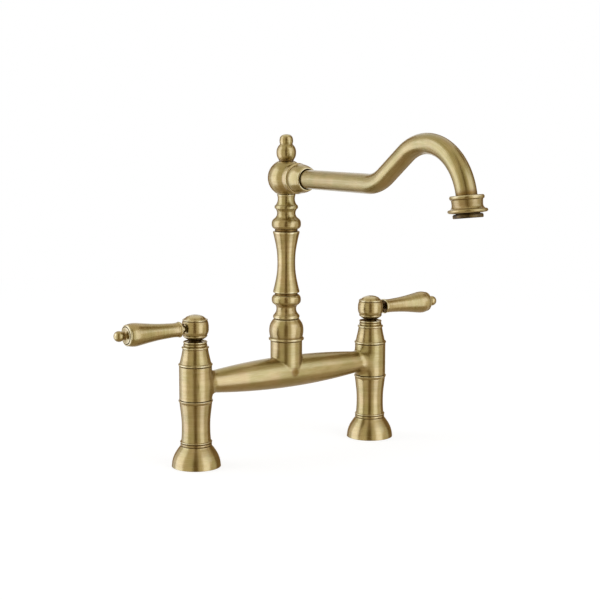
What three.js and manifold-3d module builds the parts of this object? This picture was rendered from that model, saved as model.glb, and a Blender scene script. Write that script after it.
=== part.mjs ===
// Bridge kitchen faucet: two pillars joined by a tapered bar, a lever valve on each, and a turned
// column with a hooked spout that swivels on the bar's middle boss.
// Millimetres, +Z up. The origin lies on the deck, midway between the pillars. The spout points to -Y.
import * as THREE from "three";
import { mergeVertices } from "three/addons/utils/BufferGeometryUtils.js";
import Module from "manifold-3d";

const wasm = await Module();
wasm.setup();

// ---- Whole tap ----
const PILLAR_PITCH = 180; // between the axes of the two pillars
const CLEARANCE = 0.3; // between pieces that seat on, screw into or turn in each other
const SIDES = 16; // flats around a turned piece
const SMALL_SIDES = 12; // flats around a small inner piece
const CURVE_STEPS = 2; // flats along each curve of an outline
const FINE_STEPS = 4; // the same, where the curve is longer
const BAR_STEPS = 6; // the same, along the bar
const OVERSHOOT = 1; // of a drill past the open face that it comes out of

// ---- Base flange and its gasket ----
const BELL_R = 20.2;
const BELL_EDGE_H = 1.2;
const BELL_H = 17.2;
const BELL_NECK_WALL = 0.77;
const BELL_CORNER_R = 19.3; // the corner that the bell's curve is drawn towards
const BELL_CORNER_Z = 10;
const BELL_WALL = 2.2;
const BELL_GRIP_H = 4; // the sleeve around the leg
const GASKET_H = 2;

// ---- Leg, from the deck to the barrel ----
const LEG_FOOT_R = 11.6;
const INLET_THREAD_R = 9.3; // core of the half-inch inlet thread
const INLET_DEPTH = 14;
const LEG_BORE_R = 7.5;
const LEG_ROOT_R = 12.35; // beside and between the two beads
const LOWER_BEAD_R = 12.9;
const LOWER_BEAD_H = 2.4;
const UPPER_BEAD_R = 13.1;
const UPPER_BEAD_H = 1.4;
const LEG_WAIST_R = 11.6;
const LEG_WAIST_RISE = 12.6; // of the waist above the beads
const LEG_SWELL_H = 18.3; // from the waist up to the rim
const LEG_TOP_R = 13.4;
const LEG_RIM_R = 14.2;
const LEG_RIM_H = 3.3;
const LEG_SPIGOT_H = 5; // pushed up into the barrel
const LEG_GROOVE_DEPTH = 1.3;
const LEG_GROOVE_H = 1.8;
const LEG_GROOVE_RISE = 1.6;

// ---- Bridge: two barrels, the bar and the middle boss ----
const BARREL_WALL = 3;
const BARREL_H = 27.7;
const BAR_RISE = 12.6; // of the bar's axis above the barrels' lower ends
const BAR_END_R = 8.8; // the radius that the bar's flare is drawn towards
const BAR_FLARE = 1.6; // of the bar where it meets a barrel
const BAR_FLARE_FOOT = 0.4; // of the bar where its flare begins
const BAR_FLARE_L = 5;
const BAR_BORE_R = 5.5;
const BOSS_WALL = 2.08;
const BOSS_H = 26.9; // above the bar's axis

// ---- Valve cartridge ----
const VALVE_R = 9.9;
const VALVE_DEPTH = 21.5; // below the barrel's rim
const VALVE_NECK_R = 8.1;
const VALVE_NECK_H = 12; // above the barrel's rim
const VALVE_GROOVE_DEPTH = 1.3;
const VALVE_GROOVE_H = 1.8;
const VALVE_GROOVE_DROP = 4; // below the barrel's rim
const DISC_R = 7;
const DISC_H = 3;
const DISC_PORT_R = 1.5;
const DISC_PORT_OFFSET = 4;
const SEAT_H = 2;
const SEAT_BORE_R = 5.6;
const OUTLET_PORT_R = 2.2;
const SPINDLE_R = 3.4;
const SPINDLE_FOOT_H = 2.5;
const CLIP_H = 1;
const CLIP_R = 5;
const CLIP_GROOVE_DEPTH = 0.6;

// ---- Bonnet over the cartridge ----
const BONNET_RIM_R = 13.85;
const BONNET_RIM_H = 2.2;
const BONNET_FOOT_R = 12.85;
const BONNET_NECK_R = 10.3;
const BONNET_CONE_H = 11.9;
const BONNET_RING_R = 10.95;
const BONNET_RING_H = 2;
const BONNET_GROOVE_R = 9.3;
const BONNET_GROOVE_H = 2.6;
const BONNET_LIP_R = 9.9;
const BONNET_MOUTH_R = 9;
const BONNET_LIP_H = 1.5;

// ---- Lever hub, its screw and its cap ----
const HUB_GAP = 3.9; // shows the hub's neck and cone above the bonnet
const HUB_NECK_R = 5.3;
const HUB_NECK_DEPTH = 1.6; // of the neck inside the bonnet's lip
const HUB_EDGE_R = 9.7;
const HUB_CONE_H = 3; // from the neck out to the hub's lower edge
const HUB_R = 11.3;
const HUB_H = 11.8;
const HUB_WEB_H = 0.8; // between the spindle's end and the screw's head
const SCREW_R = 1.7;
const SCREW_L = 7;
const SCREW_HEAD_R = 3.2;
const SCREW_HEAD_H = 1.6;
const CAP_SEAT_R = 7.4;
const CAP_SEAT_H = 1;
const CAP_RIM_R = 9.9;
const CAP_RIM_H = 0.9;
const CAP_DOME_R = 8.6;
const CAP_DOME_H = 4.7;
const CAP_CORNER_R = 4.3; // the corner that the dome is drawn towards

// ---- Lever ----
const LEVER_RISE = 6.9; // of the lever's axis above the hub's lower edge
const LEVER_GAP = 2.3; // between the hub and the handle
const STUD_R = 2.2; // of its threaded ends
const STUD_SHANK_R = 2.6; // shows between the hub and the handle
const STUD_WALL = 1.5; // of the hub between the stud's hole and the spindle's socket
const STUD_WELL_R = 4.2; // sunk into the hub's side around the stud
const STUD_WELL_DEPTH = 2.6;
const STUD_HOLD = 10; // of the stud inside the handle
const HANDLE_FACE_R = 5.5;
const HANDLE_BEAD_R = 6.45;
const HANDLE_BEAD_L = 2.8;
const HANDLE_NECK_R = 5.8;
const HANDLE_NECK_L = 2.8;
const HANDLE_R = 9.45;
const HANDLE_SWELL_L = 37;
const HANDLE_HOLLOW_L = 18.9; // of the swell, up to the corner that it is drawn towards
const HANDLE_SHOULDER_R = 8.7;
const HANDLE_SHOULDER_L = 5.2;
const HANDLE_RIM_R = 8.15;
const HANDLE_RIM_L = 2.4;
const PLATE_R = 6.8;
const PLATE_H = 0.9;
const PLATE_RECESS = 0.8;
const BALL_NECK_R = 2.5;
const BALL_R = 4.35;
const BALL_RISE = 5.7; // of the ball's centre above its plate
const BALL_STUD_R = 2;
const BALL_STUD_L = 6;

// ---- Swivel nut, bush and spigot ----
const NUT_RING_R = 14.9;
const NUT_RING_H = 2.9;
const NUT_FOOT_R = 13.85;
const NUT_R = 14.45;
const NUT_SIDE_H = 6.5;
const NUT_TOP_R = 10.9;
const NUT_SHOULDER_H = 9;
const NUT_CORNER_R = 14.1; // the corner that the nut's shoulder is drawn towards
const NUT_CORNER_H = 5.2;
const NUT_SKIRT_WALL = 1.2;
const NUT_SKIRT_DROP = 1; // of the nut's skirt below the snap ring
const SPIGOT_R = 7.5;
const SPIGOT_RISE = 3.6; // of the spigot's end above the bar's axis
const SPIGOT_BORE_R = 4.8;
const SPIGOT_THREAD_R = 6.6;
const SPIGOT_THREAD_H = 9.6;
const BUSH_WALL = 1.15;
const BUSH_DROP = 0.6; // of the bush's end below the nut's top
const BUSH_H = 23.5;
const RING_GROOVE_DEPTH = 1.2;
const RING_GROOVE_H = 1.8;
const RING_RISE = 4; // of the lower sealing ring above the spigot's end
const RING_PITCH = 5;
const SNAP_H = 1;
const SNAP_R = 8.9;

// ---- Column: heights of each turned member ----
const FIRST_BEAD_R = 11.25;
const FIRST_BEAD_EDGE_R = 10.35;
const FIRST_BEAD_H = 3.6;
const LOWER_NECK_R = 8.3;
const LOWER_NECK_H = 4.4;
const LOWER_FLARE_H = 4;
const RING_MEMBER_R = 12.25;
const RING_EDGE_R = 10.3;
const RING_MEMBER_H = 8.8;
const MEMBER_GROOVE_R = 10;
const LOWER_GROOVE_H = 0.8;
const UPPER_GROOVE_H = 1.5;
const SHAFT_EDGE_R = 11.15;
const SHAFT_END_R = 10.6;
const SHAFT_LIP_H = 1.3;
const SHAFT_WAIST_R = 7.5;
const SHAFT_H = 51.8;
const UPPER_NECK_R = 7.7;
const UPPER_NECK_H = 4.4;
const UPPER_FLARE_H = 3.6;
const THIN_BEAD_R = 9.85;
const THIN_BEAD_EDGE_R = 8.9;
const THIN_BEAD_H = 3.5;
const HEAD_NECK_R = 7.15;
const HEAD_NECK_H = 5.2;
const HEAD_FLARE_R = 7.9;
const HEAD_FLARE_H = 3.6;
const RISER_R = 5.5;
const RISER_WALL = 0.9;
const RISER_ENTRY = 7; // of the riser inside the ball hub
const HOLLOW_CORNER = 1 / 3; // share of a hollow's height at which its corner lies
const RING_CORNER = 4 / 3; // share of a ring's swelling at which its two corners lie

// ---- Ball hub and finial ----
const BALL_HUB_R = 15.45;
const BALL_HUB_FOOT_R = 7.9;
const BALL_HUB_TOP_R = 6.7;
const BALL_HUB_WATERWAY_R = 4.6;
const SOCKET_R = 11.6;
const SOCKET_REACH = 15; // of the side socket from the column's axis
const FINIAL_FOOT_R = 6.3;
const FINIAL_FOOT_H = 0.7;
const FINIAL_BALL_R = 8.2;
const FINIAL_BALL_H = 12.9;
const FINIAL_WAIST_R = 5.15;
const FINIAL_TIP_R = 5.7;
const FINIAL_TIP_H = 8.4;
const FINIAL_CROWN_R = 5.1; // the corner that the tip's crown is drawn towards
const FINIAL_STUD_R = 2.8;
const FINIAL_STUD_L = 5.5;

// ---- Ferrule and spout tube ----
const FERRULE_EDGE_R = 11.8;
const FERRULE_BEAD_R = 12.85;
const FERRULE_BEAD_L = 2.6;
const FERRULE_L = 15.2;
const FERRULE_END_R = 9.25;
const FERRULE_CORNER_L = 8.8;
const TUBE_R = 7.8;
const TUBE_WALL = 1;
const TUBE_RISE_ANGLE = THREE.MathUtils.degToRad(1.05);
const TUBE_RUN = 95.1;
const TUBE_SWEEP_R = 36.8;
const TUBE_SWEEP_ANGLE = THREE.MathUtils.degToRad(35.9);
const TUBE_CLIMB = 29.9;
const TUBE_HOOK_R = 43.6;
const TUBE_HOOK_ANGLE = THREE.MathUtils.degToRad(119.55);
const TUBE_STEPS = 28;

// ---- Outlet: depths are measured along the water's way from the collar's upper rim ----
const OUTLET_LIP_R = 12.95;
const OUTLET_LIP_EDGE_R = 11.9;
const OUTLET_LIP_H = 3.4;
const OUTLET_WAIST_R = 11.35;
const OUTLET_WAIST_H = 6.5;
const OUTLET_FLANGE_R = 14.9;
const OUTLET_FLANGE_EDGE_R = 13.3;
const OUTLET_FLANGE_H = 2.8;
const TUBE_ENTRY = 6;
const WASHER_H = 0.8;
const WASHER_BORE_R = 6.2;
const AERATOR_THREAD_R = 8.9;
const AERATOR_R = 11.1;
const AERATOR_RIM_H = 2.4;
const INSERT_R = 7.4;
const INSERT_RECESS = 0.7; // of the insert's face behind the aerator's rim
const JET_R = 1;
const JET_CIRCLE_R = 4.4;
const JETS = 6;

// ---- Finishes ----
const BRASS = { color: 0xa68f57, roughness: 0.34, metalness: 1 };
const INNER_BRASS = { color: 0xb59a52, roughness: 0.45, metalness: 1 };
const STEEL = { color: 0xb4b6b8, roughness: 0.35, metalness: 1 };
const RUBBER = { color: 0x1b1b1c, roughness: 0.85, metalness: 0 };
const CERAMIC = { color: 0xe9e6dc, roughness: 0.3, metalness: 0 };
const NYLON = { color: 0xe2ded2, roughness: 0.6, metalness: 0 };
const DARK_PLASTIC = { color: 0x1f1d1a, roughness: 0.5, metalness: 0 };

// The corner radius of a faceted bore whose flats clear a pin of radius r.
function around(r, sides = SIDES) {
  return (r + CLEARANCE) / Math.cos(Math.PI / sides);
}

// An outline for turning: radius across and height up, drawn up the outside and back down the bore.
class Outline extends THREE.Path {
  // A round swelling or hollow that reaches the radius "peak" halfway to its end.
  round(peak, r, z) {
    const from = this.currentPoint;
    return this.quadraticCurveTo(2 * peak - (from.x + r) / 2, (from.y + z) / 2, r, z);
  }
}

function turned(outline, sides = SIDES, steps = CURVE_STEPS) {
  return new THREE.LatheGeometry(outline.getPoints(steps), sides).rotateX(Math.PI / 2);
}

// A plain ring or bush.
function ring(inner, outer, bottom, top, sides = SIDES) {
  const outline = new Outline()
    .moveTo(inner, bottom)
    .lineTo(outer, bottom)
    .lineTo(outer, top)
    .lineTo(inner, top)
    .lineTo(inner, bottom);
  return turned(outline, sides);
}

// A sealing ring that lies in a groove of the given floor radius and height.
function sealRing(groove, outer, bottom, height) {
  const inner = around(groove, SMALL_SIDES);
  const low = bottom + CLEARANCE;
  const high = bottom + height - CLEARANCE;
  const outline = new Outline()
    .moveTo(inner, low)
    .round(outer, inner, high)
    .lineTo(inner, low);
  return turned(outline, SMALL_SIDES);
}

// A drill that runs up +Z from the given height.
function drill(r, bottom, length, sides = SMALL_SIDES) {
  const geometry = new THREE.CylinderGeometry(r, r, length, sides);
  return geometry.rotateX(Math.PI / 2).translate(0, 0, bottom + length / 2);
}

function solidOf(geometry) {
  const bare = geometry.clone();
  bare.deleteAttribute("normal");
  bare.deleteAttribute("uv");
  const merged = mergeVertices(bare);
  const mesh = new wasm.Mesh({
    numProp: 3,
    vertProperties: merged.attributes.position.array,
    triVerts: new Uint32Array(merged.index.array),
  });
  return new wasm.Manifold(mesh);
}

function geometryOf(solid) {
  const mesh = solid.getMesh();
  const geometry = new THREE.BufferGeometry();
  geometry.setAttribute("position", new THREE.BufferAttribute(mesh.vertProperties, 3));
  geometry.setIndex(new THREE.BufferAttribute(mesh.triVerts, 1));
  geometry.computeVertexNormals();
  return geometry;
}

function cut(body, ...tools) {
  return geometryOf(tools.reduce((rest, tool) => rest.subtract(solidOf(tool)), solidOf(body)));
}

function piece(parent, name, geometry, finish) {
  const mesh = new THREE.Mesh(geometry, new THREE.MeshStandardMaterial(finish));
  mesh.name = name;
  parent.add(mesh);
}

// ---- Radii that follow from what passes through ----
const BARREL_R = around(VALVE_R) + BARREL_WALL;
const BUSH_R = around(SPIGOT_R) + BUSH_WALL;
const NUT_SKIRT_R = around(BUSH_R) + NUT_SKIRT_WALL;
const BOSS_R = around(NUT_SKIRT_R) + BOSS_WALL;

// ---- Heights that follow from the stack of pieces ----
const BEADS_Z = BELL_H + CLEARANCE;
const SHAFT_FOOT_Z = BEADS_Z + LOWER_BEAD_H + UPPER_BEAD_H;
const LEG_WAIST_Z = SHAFT_FOOT_Z + LEG_WAIST_RISE;
const LEG_RIM_Z = LEG_WAIST_Z + LEG_SWELL_H;
const LEG_TOP_Z = LEG_RIM_Z + LEG_RIM_H;
const BARREL_Z = LEG_TOP_Z + CLEARANCE;
const BARREL_TOP_Z = BARREL_Z + BARREL_H;
const BAR_Z = BARREL_Z + BAR_RISE;
const BONNET_Z = BARREL_TOP_Z + CLEARANCE;
const BONNET_RING_Z = BONNET_Z + BONNET_RIM_H + BONNET_CONE_H;
const BONNET_LIP_Z = BONNET_RING_Z + BONNET_RING_H + BONNET_GROOVE_H;
const BONNET_TOP_Z = BONNET_LIP_Z + BONNET_LIP_H;
const HUB_Z = BONNET_TOP_Z + HUB_GAP;
const HUB_TOP_Z = HUB_Z + HUB_H;
const LEVER_Z = HUB_Z + LEVER_RISE;
const VALVE_Z = BARREL_TOP_Z - VALVE_DEPTH;
const VALVE_TOP_Z = BARREL_TOP_Z + VALVE_NECK_H;
const FIXED_DISC_Z = VALVE_Z + SEAT_H + CLEARANCE;
const MOVING_DISC_Z = FIXED_DISC_Z + DISC_H + CLEARANCE;
const SPINDLE_Z = MOVING_DISC_Z + DISC_H + CLEARANCE;
const CAP_SEAT_Z = HUB_TOP_Z - CAP_SEAT_H;
const SCREW_HEAD_Z = CAP_SEAT_Z - SCREW_HEAD_H - CLEARANCE;
const HUB_WEB_Z = SCREW_HEAD_Z - CLEARANCE - HUB_WEB_H;
const SPINDLE_TOP_Z = HUB_WEB_Z - CLEARANCE;
const CLIP_Z = VALVE_TOP_Z + CLEARANCE;
const BOSS_TOP_Z = BAR_Z + BOSS_H;
const NUT_Z = BOSS_TOP_Z + CLEARANCE;
const NUT_WIDE_Z = NUT_Z + NUT_RING_H + NUT_SIDE_H;
const NUT_TOP_Z = NUT_WIDE_Z + NUT_SHOULDER_H;
const SPIGOT_Z = BAR_Z + SPIGOT_RISE;
const BUSH_Z = NUT_TOP_Z - BUSH_DROP - BUSH_H;
const SNAP_Z = BUSH_Z - CLEARANCE - SNAP_H;
const NUT_SKIRT_Z = SNAP_Z - NUT_SKIRT_DROP;
const COLUMN_Z = NUT_TOP_Z + CLEARANCE;

// ---- Pillar: everything that stays still ----
function baseFlange() {
  const bore = around(LEG_FOOT_R);
  const wallR = BELL_R - BELL_WALL;
  const innerCornerR = BELL_CORNER_R - BELL_WALL;
  const innerCornerZ = BELL_CORNER_Z - BELL_WALL;
  const outline = new Outline()
    .moveTo(wallR, 0)
    .lineTo(BELL_R, 0)
    .lineTo(BELL_R, BELL_EDGE_H)
    .quadraticCurveTo(BELL_CORNER_R, BELL_CORNER_Z, bore + BELL_NECK_WALL, BELL_H)
    .lineTo(bore, BELL_H)
    .lineTo(bore, BELL_H - BELL_GRIP_H)
    .quadraticCurveTo(innerCornerR, innerCornerZ, wallR, GASKET_H + CLEARANCE)
    .lineTo(wallR, 0);
  return turned(outline, SIDES, FINE_STEPS);
}

function baseGasket() {
  const outer = (BELL_R - BELL_WALL) * Math.cos(Math.PI / SIDES) - CLEARANCE;
  return ring(around(LEG_FOOT_R), outer, 0, GASKET_H);
}

function leg() {
  const spigotR = VALVE_R;
  const grooveZ = LEG_TOP_Z + LEG_GROOVE_RISE;
  const lowerHalf = (SHAFT_FOOT_Z + LEG_WAIST_Z) / 2;
  const upperHalf = (LEG_WAIST_Z + LEG_RIM_Z) / 2;
  const outline = new Outline()
    .moveTo(INLET_THREAD_R, 0)
    .lineTo(LEG_FOOT_R, 0)
    .lineTo(LEG_FOOT_R, BEADS_Z)
    .lineTo(LEG_ROOT_R, BEADS_Z)
    .round(LOWER_BEAD_R, LEG_ROOT_R, BEADS_Z + LOWER_BEAD_H)
    .round(UPPER_BEAD_R, LEG_ROOT_R, SHAFT_FOOT_Z)
    .quadraticCurveTo(LEG_WAIST_R, lowerHalf, LEG_WAIST_R, LEG_WAIST_Z)
    .quadraticCurveTo(LEG_WAIST_R, upperHalf, LEG_TOP_R, LEG_RIM_Z)
    .round(LEG_RIM_R, LEG_TOP_R, LEG_TOP_Z)
    .lineTo(spigotR, LEG_TOP_Z)
    .lineTo(spigotR, grooveZ)
    .lineTo(spigotR - LEG_GROOVE_DEPTH, grooveZ)
    .lineTo(spigotR - LEG_GROOVE_DEPTH, grooveZ + LEG_GROOVE_H)
    .lineTo(spigotR, grooveZ + LEG_GROOVE_H)
    .lineTo(spigotR, LEG_TOP_Z + LEG_SPIGOT_H)
    .lineTo(LEG_BORE_R, LEG_TOP_Z + LEG_SPIGOT_H)
    .lineTo(LEG_BORE_R, INLET_DEPTH)
    .lineTo(INLET_THREAD_R, INLET_DEPTH)
    .lineTo(INLET_THREAD_R, 0);
  return turned(outline);
}

function valveBody() {
  const grooveZ = BARREL_TOP_Z - VALVE_GROOVE_DROP;
  const chamberR = around(DISC_R, SMALL_SIDES);
  const chamberTop = SPINDLE_Z + SPINDLE_FOOT_H + CLEARANCE;
  const spindleBore = around(SPINDLE_R, SMALL_SIDES);
  const outline = new Outline()
    .moveTo(chamberR, VALVE_Z)
    .lineTo(VALVE_R, VALVE_Z)
    .lineTo(VALVE_R, grooveZ)
    .lineTo(VALVE_R - VALVE_GROOVE_DEPTH, grooveZ)
    .lineTo(VALVE_R - VALVE_GROOVE_DEPTH, grooveZ + VALVE_GROOVE_H)
    .lineTo(VALVE_R, grooveZ + VALVE_GROOVE_H)
    .lineTo(VALVE_R, BARREL_TOP_Z)
    .lineTo(VALVE_NECK_R, BARREL_TOP_Z)
    .lineTo(VALVE_NECK_R, VALVE_TOP_Z)
    .lineTo(spindleBore, VALVE_TOP_Z)
    .lineTo(spindleBore, chamberTop)
    .lineTo(chamberR, chamberTop)
    .lineTo(chamberR, VALVE_Z);
  const reach = VALVE_R + OVERSHOOT;
  const ports = drill(OUTLET_PORT_R, -reach, 2 * reach).rotateY(Math.PI / 2);
  return cut(turned(outline, SMALL_SIDES), ports.translate(0, 0, BAR_Z));
}

// A ceramic disc with two water ports, which lie along the given direction when the valve is shut.
function ceramicDisc(bottom, portAngle) {
  const disc = drill(DISC_R, bottom, DISC_H);
  const ports = [0, Math.PI].map((turn) =>
    drill(DISC_PORT_R, bottom - OVERSHOOT, DISC_H + 2 * OVERSHOOT)
      .translate(DISC_PORT_OFFSET, 0, 0)
      .rotateZ(portAngle + turn),
  );
  return cut(disc, ...ports);
}

function bonnet() {
  const cavityR = around(VALVE_NECK_R);
  const cavityTop = VALVE_TOP_Z + 2 * CLEARANCE;
  const neckBore = around(HUB_NECK_R);
  const outline = new Outline()
    .moveTo(cavityR, BONNET_Z)
    .lineTo(BARREL_R, BONNET_Z)
    .round(BONNET_RIM_R, BONNET_FOOT_R, BONNET_Z + BONNET_RIM_H)
    .lineTo(BONNET_NECK_R, BONNET_RING_Z)
    .round(BONNET_RING_R, BONNET_GROOVE_R, BONNET_RING_Z + BONNET_RING_H)
    .lineTo(BONNET_GROOVE_R, BONNET_LIP_Z)
    .round(BONNET_LIP_R, BONNET_MOUTH_R, BONNET_TOP_Z)
    .lineTo(neckBore, BONNET_TOP_Z)
    .lineTo(neckBore, cavityTop)
    .lineTo(cavityR, cavityTop)
    .lineTo(cavityR, BONNET_Z);
  return turned(outline);
}

function pillar(side, x) {
  const group = new THREE.Group();
  group.position.x = x;
  const legGroove = VALVE_R - LEG_GROOVE_DEPTH;
  const valveGroove = VALVE_R - VALVE_GROOVE_DEPTH;
  const legSealZ = LEG_TOP_Z + LEG_GROOVE_RISE;
  const valveSealZ = BARREL_TOP_Z - VALVE_GROOVE_DROP;
  const legSeal = sealRing(legGroove, VALVE_R, legSealZ, LEG_GROOVE_H);
  const valveSeal = sealRing(valveGroove, VALVE_R, valveSealZ, VALVE_GROOVE_H);
  const seat = ring(SEAT_BORE_R, DISC_R, VALVE_Z, VALVE_Z + SEAT_H, SMALL_SIDES);
  piece(group, side + "_base_flange", baseFlange(), BRASS);
  piece(group, side + "_base_gasket", baseGasket(), RUBBER);
  piece(group, side + "_leg", leg(), BRASS);
  piece(group, side + "_leg_seal_ring", legSeal, RUBBER);
  piece(group, side + "_valve_body", valveBody(), INNER_BRASS);
  piece(group, side + "_valve_seal_ring", valveSeal, RUBBER);
  piece(group, side + "_valve_seat_seal", seat, RUBBER);
  piece(group, side + "_valve_fixed_disc", ceramicDisc(FIXED_DISC_Z, 0), CERAMIC);
  piece(group, side + "_bonnet", bonnet(), BRASS);
  return group;
}

// ---- Lever: everything that turns with one handle, drawn pointing to +X ----
const STUD_START = around(SPINDLE_R) + STUD_WALL + CLEARANCE;
const STUD_WELL_START = HUB_R - STUD_WELL_DEPTH;
const HANDLE_START = HUB_R + LEVER_GAP;
const HANDLE_NECK_END = HANDLE_START + HANDLE_BEAD_L + HANDLE_NECK_L;
const HANDLE_WIDEST = HANDLE_NECK_END + HANDLE_SWELL_L;
const HANDLE_END = HANDLE_WIDEST + HANDLE_SHOULDER_L + HANDLE_RIM_L;
const PLATE_SEAT = HANDLE_END - PLATE_RECESS;

function spindle() {
  const threadBore = around(SCREW_R, SMALL_SIDES);
  const grooveR = SPINDLE_R - CLIP_GROOVE_DEPTH;
  const grooveTop = CLIP_Z + CLIP_H + CLEARANCE;
  const boreBottom = SPINDLE_TOP_Z - SCREW_L;
  const outline = new Outline()
    .moveTo(0, SPINDLE_Z)
    .lineTo(DISC_R, SPINDLE_Z)
    .lineTo(DISC_R, SPINDLE_Z + SPINDLE_FOOT_H)
    .lineTo(SPINDLE_R, SPINDLE_Z + SPINDLE_FOOT_H)
    .lineTo(SPINDLE_R, VALVE_TOP_Z)
    .lineTo(grooveR, VALVE_TOP_Z)
    .lineTo(grooveR, grooveTop)
    .lineTo(SPINDLE_R, grooveTop)
    .lineTo(SPINDLE_R, SPINDLE_TOP_Z)
    .lineTo(threadBore, SPINDLE_TOP_Z)
    .lineTo(threadBore, boreBottom)
    .lineTo(0, boreBottom);
  return turned(outline, SMALL_SIDES);
}

function leverHub() {
  const neckZ = BONNET_TOP_Z - HUB_NECK_DEPTH;
  const socketR = around(SPINDLE_R);
  const headFloor = HUB_WEB_Z + HUB_WEB_H;
  const screwBore = around(SCREW_R);
  const headBore = around(SCREW_HEAD_R);
  const seatR = around(CAP_SEAT_R);
  const outline = new Outline()
    .moveTo(socketR, neckZ)
    .lineTo(HUB_NECK_R, neckZ)
    .lineTo(HUB_NECK_R, HUB_Z - HUB_CONE_H)
    .lineTo(HUB_EDGE_R, HUB_Z)
    .round(HUB_R, CAP_RIM_R + CLEARANCE, HUB_TOP_Z)
    .lineTo(seatR, HUB_TOP_Z)
    .lineTo(seatR, CAP_SEAT_Z)
    .lineTo(headBore, CAP_SEAT_Z)
    .lineTo(headBore, headFloor)
    .lineTo(screwBore, headFloor)
    .lineTo(screwBore, HUB_WEB_Z)
    .lineTo(socketR, HUB_WEB_Z)
    .lineTo(socketR, neckZ);
  const studHole = drill(around(STUD_R, SMALL_SIDES), STUD_START - CLEARANCE, HUB_R);
  const studWell = drill(STUD_WELL_R, STUD_WELL_START, STUD_WELL_DEPTH + OVERSHOOT, SIDES);
  for (const hole of [studHole, studWell]) hole.rotateY(Math.PI / 2).translate(0, 0, LEVER_Z);
  return cut(turned(outline, SIDES, FINE_STEPS), studHole, studWell);
}

function hubScrew() {
  const end = SPINDLE_TOP_Z - SCREW_L + CLEARANCE;
  const outline = new Outline()
    .moveTo(0, end)
    .lineTo(SCREW_R, end)
    .lineTo(SCREW_R, SCREW_HEAD_Z)
    .lineTo(SCREW_HEAD_R, SCREW_HEAD_Z)
    .lineTo(SCREW_HEAD_R, SCREW_HEAD_Z + SCREW_HEAD_H)
    .lineTo(0, SCREW_HEAD_Z + SCREW_HEAD_H);
  return turned(outline, SMALL_SIDES);
}

function hubCap() {
  const rimZ = HUB_TOP_Z + CLEARANCE;
  const domeZ = rimZ + CAP_RIM_H;
  const footZ = CAP_SEAT_Z + CLEARANCE;
  const outline = new Outline()
    .moveTo(0, footZ)
    .lineTo(CAP_SEAT_R, footZ)
    .lineTo(CAP_SEAT_R, rimZ)
    .lineTo(CAP_RIM_R, rimZ)
    .lineTo(CAP_RIM_R, domeZ)
    .lineTo(CAP_DOME_R, domeZ)
    .quadraticCurveTo(CAP_CORNER_R, domeZ + CAP_DOME_H, 0, domeZ + CAP_DOME_H);
  return turned(outline, SIDES, FINE_STEPS);
}

function leverStud() {
  const shankStart = STUD_WELL_START + CLEARANCE;
  const shankEnd = HANDLE_START - CLEARANCE;
  const end = HANDLE_START + STUD_HOLD;
  const outline = new Outline()
    .moveTo(0, STUD_START)
    .lineTo(STUD_R, STUD_START)
    .lineTo(STUD_R, shankStart)
    .lineTo(STUD_SHANK_R, shankStart)
    .lineTo(STUD_SHANK_R, shankEnd)
    .lineTo(STUD_R, shankEnd)
    .lineTo(STUD_R, end)
    .lineTo(0, end);
  return turned(outline, SMALL_SIDES);
}

function leverHandle() {
  const studBore = around(STUD_R);
  const ballBore = around(BALL_STUD_R);
  const recessR = around(PLATE_R);
  const studDepth = HANDLE_START + STUD_HOLD + CLEARANCE;
  const ballDepth = PLATE_SEAT - BALL_STUD_L;
  const outline = new Outline()
    .moveTo(0, studDepth)
    .lineTo(studBore, studDepth)
    .lineTo(studBore, HANDLE_START)
    .lineTo(HANDLE_FACE_R, HANDLE_START)
    .round(HANDLE_BEAD_R, HANDLE_NECK_R, HANDLE_START + HANDLE_BEAD_L)
    .lineTo(HANDLE_NECK_R, HANDLE_NECK_END)
    .quadraticCurveTo(HANDLE_NECK_R, HANDLE_NECK_END + HANDLE_HOLLOW_L, HANDLE_R, HANDLE_WIDEST)
    .round(HANDLE_R, HANDLE_SHOULDER_R, HANDLE_WIDEST + HANDLE_SHOULDER_L)
    .lineTo(HANDLE_RIM_R, HANDLE_END)
    .lineTo(recessR, HANDLE_END)
    .lineTo(recessR, PLATE_SEAT)
    .lineTo(ballBore, PLATE_SEAT)
    .lineTo(ballBore, ballDepth)
    .lineTo(0, ballDepth);
  return turned(outline, SIDES, FINE_STEPS);
}

function leverFinial() {
  const plateZ = PLATE_SEAT + CLEARANCE;
  const plateTop = plateZ + PLATE_H;
  const studZ = plateZ - BALL_STUD_L;
  const neckMeetsBall = -Math.acos(BALL_NECK_R / BALL_R);
  const outline = new Outline()
    .moveTo(0, studZ)
    .lineTo(BALL_STUD_R, studZ)
    .lineTo(BALL_STUD_R, plateZ)
    .lineTo(PLATE_R, plateZ)
    .lineTo(PLATE_R, plateTop)
    .lineTo(BALL_NECK_R, plateTop)
    .absarc(0, plateTop + BALL_RISE, BALL_R, neckMeetsBall, Math.PI / 2);
  return turned(outline, SMALL_SIDES);
}

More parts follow.
